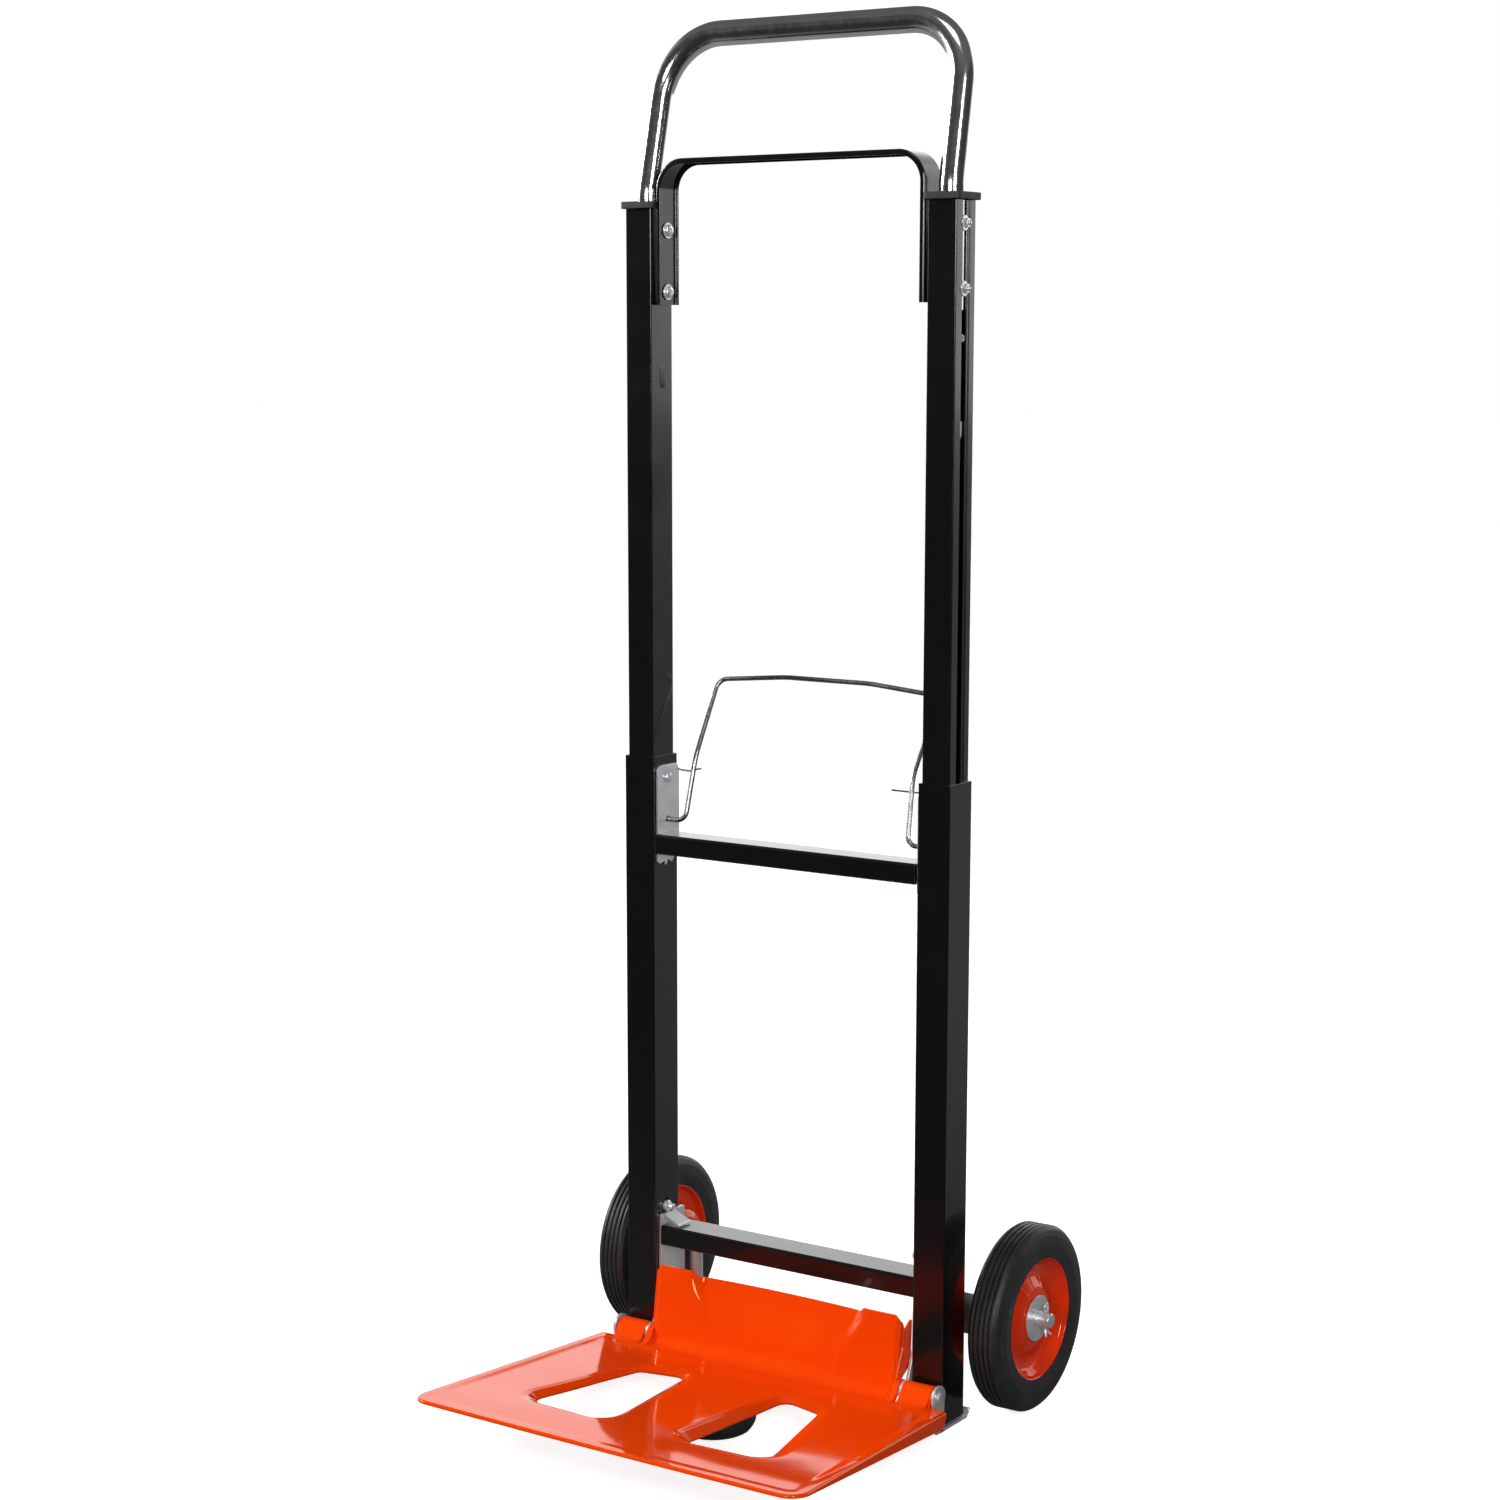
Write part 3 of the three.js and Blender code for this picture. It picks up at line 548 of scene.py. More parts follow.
def setWorld():
    world = bpy.data.worlds.new("studioWorld")
    world.use_nodes = True
    nodes, links = world.node_tree.nodes, world.node_tree.links
    background = nodes["Background"]
    place = nodes.new("ShaderNodeTexCoord").outputs["Generated"]
    sweep = awayFromCamera(nodes, links, place, *studio["edge"], studio["worldFront"], studio["worldBack"])
    height = nodes.new("ShaderNodeSeparateXYZ")
    links.new(place, height.inputs["Vector"])
    above = nodes.new("ShaderNodeMapRange")
    above.interpolation_type = "SMOOTHSTEP"
    above.inputs["From Min"].default_value, above.inputs["From Max"].default_value = studio["bandTop"]
    above.inputs["To Max"].default_value = studio["ceiling"]
    links.new(height.outputs["Z"], above.inputs["Value"])
    links.new(sweep, above.inputs["To Min"])
    links.new(above.outputs["Result"], background.inputs["Strength"])
    background.inputs["Color"].default_value = (1, 1, 1, 1)
    plain = nodes.new("ShaderNodeBackground")
    plain.inputs["Strength"].default_value = studio["backdrop"]
    plain.inputs["Color"].default_value = (1, 1, 1, 1)
    seen = nodes.new("ShaderNodeLightPath")
    mix = nodes.new("ShaderNodeMixShader")
    links.new(seen.outputs["Is Camera Ray"], mix.inputs["Fac"])
    links.new(background.outputs["Background"], mix.inputs[1])
    links.new(plain.outputs["Background"], mix.inputs[2])
    links.new(mix.outputs["Shader"], nodes["World Output"].inputs["Surface"])
    bpy.context.scene.world = world


def setFloor():
    # seen directly it is a white sweep; the object meets it darker in front than behind
    half = studio["floorSize"] / 2
    mesh = bpy.data.meshes.new("studioFloor")
    mesh.from_pydata([(-half, -half, 0), (half, -half, 0), (half, half, 0), (-half, half, 0)], [],
                     [(0, 1, 2, 3)])
    material, nodes, links, shader, place = newMaterial("studioFloor",
                                                        {"Roughness": 0.9, "Specular IOR Level": 0.1})
    tone = studio["floorTone"]
    cloud = addNoise(nodes, links, place, 3, 2)
    setColour(nodes, links, shader, cloud, [(0.3, grey(tone)), (0.7, grey(tone * 1.02))])
    shader.inputs["Emission Color"].default_value = (1, 1, 1, 1)
    shader.inputs["Emission Strength"].default_value = studio["floorGlow"]
    returned = nodes.new("ShaderNodeEmission")
    strength = awayFromCamera(nodes, links, place, *studio["floorEdge"], studio["floorFront"],
                              studio["floorBack"])
    links.new(strength, returned.inputs["Strength"])
    seen = nodes.new("ShaderNodeLightPath")
    mix = nodes.new("ShaderNodeMixShader")
    links.new(seen.outputs["Is Camera Ray"], mix.inputs["Fac"])
    links.new(returned.outputs["Emission"], mix.inputs[1])
    links.new(shader.outputs["BSDF"], mix.inputs[2])
    links.new(mix.outputs["Shader"], nodes["Material Output"].inputs["Surface"])
    mesh.materials.append(material)
    floor = bpy.data.objects.new("studioFloor", mesh)
    bpy.context.scene.collection.objects.link(floor)


def setLights():
    for i, (place, aim, size, power) in enumerate(studio["lights"]):
        data = bpy.data.lights.new(f"softbox{i}", "AREA")
        data.shape = "RECTANGLE"
        data.size, data.size_y = size
        data.energy = power
        lamp = bpy.data.objects.new(f"softbox{i}", data)
        lamp.location = place
        lamp.rotation_euler = (Vector(aim) - Vector(place)).to_track_quat("-Z", "Y").to_euler()
        bpy.context.scene.collection.objects.link(lamp)


setCamera()
setWorld()
setFloor()
setLights()
bpy.context.scene.view_settings.view_transform = "Standard"
print("studio set")


# ---- lower frame ----
# holes in the inner face are (y, z, radius)
lowerTube = {"width": 28, "depth": 34, "wall": 1.5, "corner": 1.0, "boreCorner": 1.2, "bottom": 3,
             "top": 512.6, "bailHole": (0.6, 460, 2.5), "screwHole": (0, 494.7, 2.3),
             "studHole": (-1, 134.5, 4.6)}
tubeInner = railX - lowerTube["width"] / 2
tubeFace = tubeInner - gap       # plates lie against the tubes' inner faces here


def drillHole(y, z, radius, low, high, steps=24):
    return shifted(plainBar(radius, low, high, steps), 0, y, z)


def makeLowerTube():
    look = lowerTube
    outer = boxOutline(look["width"], look["depth"], look["corner"])
    inner = boxOutline(look["width"] - 2 * look["wall"], look["depth"] - 2 * look["wall"], look["boreCorner"])
    tube = shifted(slab(outer, [inner], look["bottom"], look["top"]), railX)
    holes = [look["bailHole"], look["screwHole"], look["studHole"]]
    drills = [drillHole(*hole, tubeInner - 2, tubeInner + 3) for hole in holes]
    return drilled(tube, *drills)


crossbars = {
    "upper": {"front": -17, "back": 8, "bottom": 433, "top": 449.5, "reach": 121.7, "wall": 1.5,
              "corner": 2.2},
    "lower": {"front": -13, "back": 17, "bottom": 101.5, "top": 118.5, "reach": 121.3, "wall": 1.5,
              "corner": 2.2},
}


def makeCrossbar(look):
    centre = ((look["front"] + look["back"]) / 2, (look["bottom"] + look["top"]) / 2)
    width, height = look["back"] - look["front"], look["top"] - look["bottom"]
    wall = look["wall"]
    outer = boxOutline(width, height, look["corner"], centre=centre)
    inner = boxOutline(width - 2 * wall, height - 2 * wall, look["corner"] - wall + 0.3, centre=centre)
    return plateX(outer, [inner], -look["reach"], look["reach"])


bailBracket = {"thick": 2.0, "hole": 2.6, "screw": 2.3, "screwHead": 4.2, "screwShank": 2}
bracketFace = tubeFace - bailBracket["thick"] - gap


def makeBailBracket():
    # the plate between crossbar and tube, cut ragged at its foot where the stamping was torn off its strip
    outer = roundCorners([
        (-13.5, 426), (-13.5, 505, 5), (14, 505, 5), (16.5, 498), (16.5, 431, 2), (12.5, 426.5, 1.5),
        (10, 429, 1.5), (6, 423.5, 1), (1, 427, 1.5), (-2.5, 421.5, 0.8), (-4.5, 426.5, 1), (-9.5, 424, 1)],
        1.2, 5)
    holes = [ringOutline(bailBracket["hole"], lowerTube["bailHole"][:2]),
             ringOutline(bailBracket["screw"], lowerTube["screwHole"][:2])]
    return plateX(outer, holes, tubeFace - bailBracket["thick"], tubeFace, 0.35)


def crossRecess(radius, depth, reach):
    # two crossed tapered bars pointing along +x
    bars = []
    for turn in (0, 90):
        width, thin = radius, radius * 0.3
        near = [(-0.5, -width, -thin), (-0.5, width, -thin), (-0.5, width, thin), (-0.5, -width, thin)]
        far = [(depth, -width * 0.35, -thin * 0.7), (depth, width * 0.35, -thin * 0.7),
               (depth, width * 0.35, thin * 0.7), (depth, -width * 0.35, thin * 0.7)]
        faces = [(0, 1, 2, 3), (7, 6, 5, 4), (0, 4, 5, 1), (1, 5, 6, 2), (2, 6, 7, 3), (3, 7, 4, 0)]
        bar = cleaned(meshFrom(near + far, faces))
        bars.append(shifted(moved(bar, Matrix.Rotation(math.radians(turn + 20), 4, "X")), reach))
    return bars


def panScrew(seat, end, head, shank, height=2.8):
    # pan head below seat, shank running outwards to end
    top = seat - height
    profile = [(0, top), (head * 0.45, top + 0.08), (head * 0.72, top + 0.3), (head * 0.88, top + 0.7),
               (head * 0.97, top + 1.2), (head, top + 1.9), (head, seat - 0.1), (head - 0.1, seat),
               (shank, seat), (shank, end), (0, end)]
    return drilled(turned(profile, 40), *crossRecess(head * 0.52, 1.7, top))


stopWire = {"radius": 0.75, "y": 13.2, "reachRight": 83, "reachLeft": 97.7}


def makeStopWire(curled):
    # the right wire runs straight in behind the bail; the left one is shorter and kinked at its end
    if curled:
        route = [(bracketFace, 500.5, 0, 0), (bracketFace - 4, 499.4, 3, 5), (108.5, 499, 2, 5),
                 (105.5, 502.4, 1.5, 6), (103.3, 500.8, 1, 4), (stopWire["reachLeft"], 502, 0, 0)]
    else:
        route = [(bracketFace, 500, 0, 0), (104, 499.7, 60, 4), (stopWire["reachRight"], 499.9, 0, 0)]
    corners = [((x, stopWire["y"], z), radius, steps) for x, z, radius, steps in route]
    return wire(bendRun(corners), stopWire["radius"], 12)


def buildLowerFrame():
    showPair("lowerTube", makeLowerTube(), "black", "frame", "lower_tube")
    for place in crossbars:
        show(f"{place}Crossbar", makeCrossbar(crossbars[place]), "black", "frame", [f"{place}_crossbar"])
    showPair("bailBracket", makeBailBracket(), "zinc", "frame", "bail_bracket")
    screw = panScrew(bracketFace, tubeInner + 1.3, bailBracket["screwHead"], bailBracket["screwShank"])
    showPair("bailBracketScrew", shifted(screw, z=lowerTube["screwHole"][1]), "zinc", "frame",
             "bail_bracket_screw")
    show("stopWire_right", makeStopWire(False), "wire", "frame", ["stop_wire_right"])
    show("stopWire_left", moved(makeStopWire(True), mirrorX), "wire", "frame", ["stop_wire_left"])
    print("lower frame built")


buildLowerFrame()

# ---- upper frame ----
upperTube = {"width": 24.4, "depth": 29, "wall": 1.5, "slot": 7, "lip": 2.4, "groove": 0.7, "bottom": 400,
             "top": 948, "bolts": (883.5, 931.3), "access": 6.25, "screwHole": 3.3, "lockHoles": (460, 820),
             "lockRadius": 2.6}
upperInner = railX - upperTube["width"] / 2
# small parts in the slot lie behind this face
slotFace = railX + upperTube["width"] / 2 - upperTube["lip"] - gap
tongue = {"thick": 3.2, "depth": 24, "end": 875, "waist": 935}
tongueInner = upperInner - gap - tongue["thick"]


def makeUpperTube():
    # a square tube rolled from strip, open along a slot in its outer face, a shallow step by each lip
    look = upperTube
    w, d, s, t, lip = look["width"] / 2, look["depth"] / 2, look["slot"] / 2, look["wall"], look["lip"]
    step = w - look["groove"]
    half = [(w - lip, s, 0.5), (w - lip, s + t, 0.3), (step - t, s + t, 0.3), (step - t, s + 3.4, 0.3),
            (w - t, s + 3.9, 0.3), (w - t, d - t, 0.8), (t - w, d - t, 0.8)]
    outside = [(step, -s, 0.6), (step, -s - 2.6, 0.3), (w, -s - 3.1, 0.4), (w, -d, 1), (-w, -d, 1)]
    mirrored = [(x, -y, r) for x, y, r in half[::-1]]
    section = [mirrored[-1], *outside, *[(x, -y, r) for x, y, r in outside[::-1]], *half, *mirrored[:-1]]
    tube = shifted(slab(roundCorners(section, 0.4, 4), [], look["bottom"], look["top"], 0.15), railX)
    holes = []
    for z in look["bolts"]:
        holes.append(drillHole(0, z, look["access"], railX + w - 4, railX + w + 1, 40))
        holes.append(drillHole(0, z, look["screwHole"], upperInner - 1, upperInner + 3))
    for z in look["lockHoles"]:
        holes.append(drillHole(0.6, z, look["lockRadius"], upperInner - 1, upperInner + 3))
    return drilled(tube, *holes)


endCap = {"overhang": 3.5, "height": 5.5, "corner": 3.5, "bore": 10.45}


def makeEndCap():
    # a flange on the tube's end with a tapered tongue down its inner face
    look = endCap
    base = upperTube["top"] + gap
    width = upperTube["width"] + 2 * look["overhang"]
    depth = upperTube["depth"] + 2 * look["overhang"]
    flange = slab(boxOutline(width, depth, look["corner"]), [ringOutline(look["bore"], steps=48)],
                  base, base + look["height"], 0.7)
    half = tongue["depth"] / 2
    outline = roundCorners([(-half, base + 3, 0.5), (half, base + 3, 0.5), (half, tongue["waist"], 8),
                            (half - 3, tongue["end"], 2.5), (3 - half, tongue["end"], 2.5),
                            (-half, tongue["waist"], 8)], 1, 6)
    holes = [ringOutline(upperTube["screwHole"], (0, z), 24) for z in upperTube["bolts"]]
    plate = plateX(outline, holes, tongueInner, tongueInner + tongue["thick"], 0.5)
    return joined(shifted(flange, railX), plate)


handle = {"radius": 10, "wall": 1.4, "foot": 868, "lean": 0.235, "leanFrom": 962, "legX": 136, "top": 1083,
          "bend": 50, "hole": 3.3}


def makeHandle():
    look = handle
    topY = (look["top"] - look["leanFrom"] - 10) * look["lean"]
    legs = []
    for side in (-1, 1):
        legs.append([((side * railX, 0, look["foot"]), 0, 0), ((side * railX, 0, look["leanFrom"]), 34, 10),
                     ((side * look["legX"], topY, look["top"]), look["bend"], 28)])
    run = bendRun(legs[0] + legs[1][::-1])
    tube = swept(run, ringOutline(look["radius"], steps=40),
                 ringOutline(look["radius"] - look["wall"], steps=40))
    holes = [shifted(plainBar(look["hole"], -railX - 15, railX + 15), z=z) for z in upperTube["bolts"]]
    return drilled(tube, *holes)


brace = {"thick": 1.9, "lip": 2.4, "lipWall": 1.6, "depth": 26, "top": 986, "bottom": 873.5, "bend": 24,
         "hole": 3}


def makeBrace():
    # a shallow channel bent to an arch: the section turns with the bend
    look = brace
    outer = tongueInner - gap
    radius, steps = look["bend"], 18
    bend = arcPoints((outer - radius, look["top"] - radius), radius, 0, 90, steps)
    path = [(outer, look["bottom"], 0)]
    path += [(x, z, 90 * i / steps) for i, (x, z) in enumerate(bend)]
    path += [(-x, z, 180 - a) for x, z, a in path[::-1]]
    half, t, lip, wall = look["depth"] / 2, look["thick"], look["lip"], look["lipWall"]
    # (depth along y, distance in from the outer face)
    section = roundCorners([(-half, 0, 1.6), (half, 0, 1.6), (half, t + lip, 0.6),
                            (half - wall, t + lip, 0.6), (half - wall, t, 0.9), (wall - half, t, 0.9),
                            (wall - half, t + lip, 0.6), (-half, t + lip, 0.6)], 0.5, 5)
    points, faces = [], []
    count = len(section)
    for x, z, angle in path:
        inward = Vector((-math.cos(math.radians(angle)), 0, -math.sin(math.radians(angle))))
        points.extend(Vector((x, 0, z)) + inward * depth + Vector((0, y, 0)) for y, depth in section)
    for r in range(len(path) - 1):
        for i in range(count):
            j = (i + 1) % count
            faces.append((r * count + i, r * count + j, (r + 1) * count + j, (r + 1) * count + i))
    faces.append(tuple(range(count)))
    faces.append(tuple(range((len(path) - 1) * count, len(path) * count)))
    strap = cleaned(meshFrom(points, faces))
    holes = [shifted(plainBar(look["hole"], -outer - 2, outer + 2), z=z) for z in upperTube["bolts"]]
    return drilled(strap, *holes)


def braceScrew(z):
    seat = tongueInner - gap - brace["thick"] - gap
    end = railX + handle["radius"] + gap
    head = panScrew(seat - 1.1, end, 4.7, 2.6, 2.6)
    washer = turned([(3.0, seat - 1), (6.1, seat - 1), (6.3, seat - 0.8), (6.3, seat - 0.1), (6.2, seat),
                     (3.0, seat)],
                    40, True)
    return shifted(joined(head, washer), z=z)


def braceNut(z):
    # washer seated in the access hole, hexagonal nut and the rounded screw end
    base = railX + handle["radius"] + 0.6
    washer = turned([(0, base), (5.5, base), (5.7, base + 0.2), (5.7, base + 0.9), (5.5, base + 1.1),
                     (0, base + 1.1)], 40)
    hexagon = plateX(ringOutline(3.9, steps=6), [], base + 1.0, base + 4.0, 0.35)
    tip = turned([(0, base + 3.5), (1.9, base + 3.5), (1.9, base + 4.9), (1.5, base + 5.5), (0.8, base + 5.8),
                  (0, base + 5.9)], 28)
    return shifted(joined(washer, hexagon, tip), z=z)


slotParts = {"eyeletZ": 847, "stripLow": 768, "stripTop": 786, "stripHalf": 2.3}


def makeEyelet():
    face = slotFace
    profile = [(1.0, face - 3), (2.9, face - 3), (2.9, face + 0.2), (2.5, face + 1.0), (1.8, face + 1.3),
               (1.2, face + 0.9), (1.0, face)]
    return shifted(turned(profile, 28, True), z=slotParts["eyeletZ"])


def makeLatchStrip():
    # a bent zinc tongue lying in the slot
    low, top, half = slotParts["stripLow"], slotParts["stripTop"], slotParts["stripHalf"]
    outline = roundCorners([(slotFace - 5, low), (slotFace - 3.4, low), (slotFace, low + 7), (slotFace, top),
                            (slotFace - 1.4, top), (slotFace - 1.4, low + 8), (slotFace - 5, low + 2)], 0.5,
                            4)
    return plateY(outline, [], -half, half, 0.25)


slideGuide = {"pad": (24.4, 30.4, 1.6), "plug": (18.8, 23.9, 1), "low": 391.7, "high": 399.7, "plugTop": 415,
              "inward": 0.9}


def makeSlideGuide():
    # the pad that the upper tube's end slides on, and its plug inside the tube
    look = slideGuide
    pad = slab(boxOutline(*look["pad"]), [], look["low"], look["high"], 0.5)
    plug = slab(boxOutline(*look["plug"]), [], look["high"] - 1, look["plugTop"], 0.5)
    return shifted(joined(pad, shifted(plug, -look["inward"])), railX)


catch = {"proud": 0.25, "root": 0.2, "front": -2.6, "back": 3.8}


def makeCatch():
    # the low nib punched out of the inner face, thin enough to pass inside the lower tube
    root, tip = upperInner + catch["root"], upperInner - catch["proud"]
    outline = roundCorners([(root, 826), (tip, 824), (tip, 812), (root, 805)], 0.3, 4)
    return plateY(outline, [], catch["front"], catch["back"], 0.05)


def buildUpperFrame():
    showPair("upperTube", makeUpperTube(), "black", "upper_frame", "upper_tube", crease=30)
    showPair("endCap", makeEndCap(), "capPlastic", "upper_frame", "end_cap")
    show("hoopHandle", makeHandle(), "chrome", "upper_frame", ["handle"])
    show("braceStrap", makeBrace(), "black", "upper_frame", ["brace_loop"])
    for z, place in zip(upperTube["bolts"], ("lower", "upper")):
        showPair(f"braceScrew_{place}", braceScrew(z), "zinc", "upper_frame", f"brace_screw_{place}")
        showPair(f"braceNut_{place}", braceNut(z), "zinc", "upper_frame", f"brace_nut_{place}")
    showPair("slotEyelet", makeEyelet(), "zinc", "upper_frame", "slot_rivet")
    showPair("latchStrip", makeLatchStrip(), "zinc", "upper_frame", "latch_strip")
    showPair("slideGuide", makeSlideGuide(), "capPlastic", "upper_frame", "slide_guide")
    showPair("punchedCatch", makeCatch(), "black", "upper_frame")
    print("upper frame built")


buildUpperFrame()

# ---- bail ----
bail = {"radius": 2.0, "legX": 105, "shoulder": (102.5, 12.4, 512), "corner": (104.4, 48.2, 571.5),
        "top": (40, 49.5, 577)}


def makeBail():
    # up from the two pivots, leaning back, with slightly bowed sides and top
    y, z = lowerTube["bailHole"][:2]
    sides = []
    for s in (-1, 1):
        spots = (bail["shoulder"], bail["corner"], bail["top"])
        shoulder, corner, top = [(s * px, py, pz) for px, py, pz in spots]
        sides.append([((s * (tubeInner + 1.2), y, z), 0, 0), ((s * bail["legX"], y, z), 8, 12),
                      (shoulder, 40, 10), (corner, 9, 14), (top, 160, 10)])
    return wire(bendRun(sides[0] + sides[1][::-1]), bail["radius"], 20)


show("wireBail", makeBail(), "wire", "bail", ["bail"])
print("bail built")

# ---- foot brackets and hinge hardware ----
hinge = {"y": -26, "z": 30, "pin": 3, "knuckle": 8.3, "ear": 9.6}
wheelPin = {"x": 118, "y": 34, "radius": 3, "knuckle": 5.5, "bottom": 62, "top": 96}
stud = {"y": -2, "z": 133, "radius": 2.4, "pitch": 0.9, "start": 115.5, "flange": 121, "flangeRadius": 4.6}


def makeFootBracket(hasTab):
    # stamped foot: floor, inner wall up to the crossbar, outer ear, and two lugs for the wheel hinge
    innerLow, innerHigh = tubeInner - 2.7, tubeFace
    outerLow, outerHigh = railX + 14.3, railX + 16.5
    hub = (hinge["y"], hinge["z"])
    hole = ringOutline(hinge["pin"] + gap, hub, 24)
    wall = roundCorners([(-24, 0.4), (22, 0.4), (22, 128, 2), (-11, 128, 3), (-13, 60, 6)], 0.6)
    wall += arcPoints(hub, hinge["knuckle"] - 0.7, 60, 200, 14)
    ear = [(-29, 0.4), (-19, 0.4), (-17.5, 26)] + arcPoints(hub, hinge["ear"], 0, 190, 20)
    floor = roundCorners([(innerLow, -24), (outerHigh, -24), (outerHigh, 19.5), (innerLow, 19.5)], 1)
    curl = [(18, 0.3)] + arcPoints((18, 7.4), 7.1, -88, -8, 9) + arcPoints((18, 7.4), 5.5, -8, -88, 9)
    parts = [plateX(wall, [hole], innerLow, innerHigh), plateX(ear, [hole], outerLow, outerHigh),
             slab(floor, [], 0.02, 2.4), plateX(curl, [], innerLow + 4, outerHigh - 1)]
    if hasTab:
        tab = roundCorners([(innerHigh, 125.6), (innerHigh, 128), (innerLow - 1.5, 128, 1.5),
                            (105, 121.4, 1.5), (104.4, 119.1), (innerLow, 125.2)], 0.5)
        parts.append(plateY(tab, [], -10, 6))
    x, y = wheelPin["x"], wheelPin["y"]
    lug = roundCorners([(x - 5, y - 5, 4.5), (innerHigh, y - 5), (innerHigh, 20), (innerHigh + 0.01, y + 5),
                        (x - 5, y + 5, 4.5)], 0.3)
    for z in (wheelPin["bottom"] - 3, wheelPin["top"] + 1):
        parts.append(slab(lug, [ringOutline(wheelPin["radius"] + gap, (x, y), 24)], z, z + 2))
        parts.append(plateX([(20, z - 1), (y + 5, z - 1), (y + 5, z + 2), (20, z + 2)], [], innerLow,
                            innerHigh))
    return joined(*parts)


def makeFootStud():
    # coarse-threaded stud with its flange against the tube wall
    look = stud
    radius, start, flange, wide = look["radius"], look["start"], look["flange"], look["flangeRadius"]
    thread = [(0, start), (1.6, start + 0.2)]
    x = start + 0.6
    while x < flange - 0.6:
        thread += [(radius, x), (radius - 0.45, x + look["pitch"] / 2)]
        x += look["pitch"]
    thread += [(wide - 0.4, flange), (wide, flange + 0.4), (wide, tubeFace - 0.2), (wide - 0.2, tubeFace),
               (radius, tubeFace), (radius, tubeFace + 1.4), (0, tubeFace + 1.5)]
    return shifted(turned(thread, 28), 0, look["y"], look["z"])


def makeHingePin():
    inner, outer = tubeInner - 5.2, railX + 16.8
    profile = [(0, inner), (2.2, inner + 0.2), (3, inner + 1.2), (3, outer), (4.8, outer), (5, outer + 0.3),
               (4.9, outer + 1.0), (4.0, outer + 1.8), (2.4, outer + 2.15), (0, outer + 2.2)]
    return shifted(turned(profile, 32), 0, hinge["y"], hinge["z"])


def makeWheelPin():
    look = wheelPin
    shank = turnedBar(look["radius"], look["bottom"] - 5, look["top"] + 4)
    top = look["top"]
    head = turned([(0, top + 3.3), (4.6, top + 3.3), (4.6, top + 4.2), (3.6, top + 5), (0, top + 5)], 28)
    upright = Matrix.Translation((look["x"], look["y"], 0)) @ quarterZ
    return moved(joined(shank, head), upright)


def buildHardware():
    show("footBracket_right", makeFootBracket(False), "zinc", "frame", ["foot_bracket_right"])
    show("footBracket_left", moved(makeFootBracket(True), mirrorX), "zinc", "frame", ["foot_bracket_left"])
    showPair("footStud", makeFootStud(), "zinc", "frame", "foot_stud", crease=20)
    showPair("toeHingePin", makeHingePin(), "zinc", "frame", "toe_hinge_pin")
    showPair("wheelHingePin", makeWheelPin(), "zinc", "frame", "wheel_hinge_pin")
    print("hinge hardware built")


buildHardware()

# ---- toe plate ----
toe = {"rear": -36, "front": -271.3, "rearHalf": 167, "frontHalf": 180, "corner": 16,
       "height": 24.4, "slope": 0.0513, "sheet": 1.8, "edge": 2.2, "flangeRear": 13, "flangeFront": 2.7,
       "panelDrop": 1.2, "bow": 1.6, "fold": -50, "foldRadius": (6, 9), "apronHalf": 118, "apronTop": 89,
       "apronDip": 5.5, "apronLean": 0.14, "scoop": 7.5, "web": (0, -118), "wave": 0.3}
# front outer, front inner, rear inner, rear outer, each with its corner radius
cutout = [(111.8, -205.4, 12), (36.9, -209, 12), (47.4, -81.5, 8), (85.7, -92.9, 8)]
lip = {"width": 9.5, "drop": 4.3, "moreInFront": 1.7, "moreInside": 1.2}


def smooth(value, low=0.0, high=1.0):
    t = min(max((value - low) / (high - low), 0), 1)
    return t * t * (3 - 2 * t)


def halfWidth(y):
    wider = toe["frontHalf"] - toe["rearHalf"]
    return toe["rearHalf"] + wider * (toe["rear"] - y) / (toe["rear"] - toe["front"])


def deckPlane(y):
    return toe["height"] + toe["slope"] * (toe["rear"] - y)


def lipDrop(x, y, distance):
    # straight slope towards the hole with a rounded crest
    depth = (lip["drop"] + lip["moreInFront"] * (-146 - y) / 63 + lip["moreInside"] * (70 - abs(x)) / 35)
    t = 1 - distance / lip["width"]
    return depth * (max(t, 0) if t > 0.18 else 0.18 * smooth(t, -0.32, 0.18))


def panelDrop(y, inset):
    fade = smooth(toe["fold"] + 2 - y, 0, 16) * (1 - 0.85 * smooth(-y, 170, 250))
    return toe["panelDrop"] * smooth(inset, 6, 13) * fade


def dimple(x, y, centre, radius, height):
    reach = math.hypot(x - centre[0], y - centre[1]) / radius
    return height * smooth(1 - reach)


def sheetWave(x, y):
    # the slight waviness that pressing leaves in flat sheet
    wide = noise.noise(Vector((x / 62, y / 48, 3.1))) * toe["wave"]
    return wide * smooth(toe["fold"] - y, 0, 25)


def deckPoint(x, y, inset=99.0, distance=99.0):
    z = deckPlane(y) - panelDrop(y, inset) - (lipDrop(x, y, distance) if distance < 40 else 0)
    z += dimple(x, y, toe["web"], 9, 0.9) + sheetWave(x, y) * smooth(inset, 2, 12)
    bow = toe["bow"] * (x / toe["frontHalf"]) ** 2 * smooth(-y, 120, 270)
    return (x, y + bow, z)


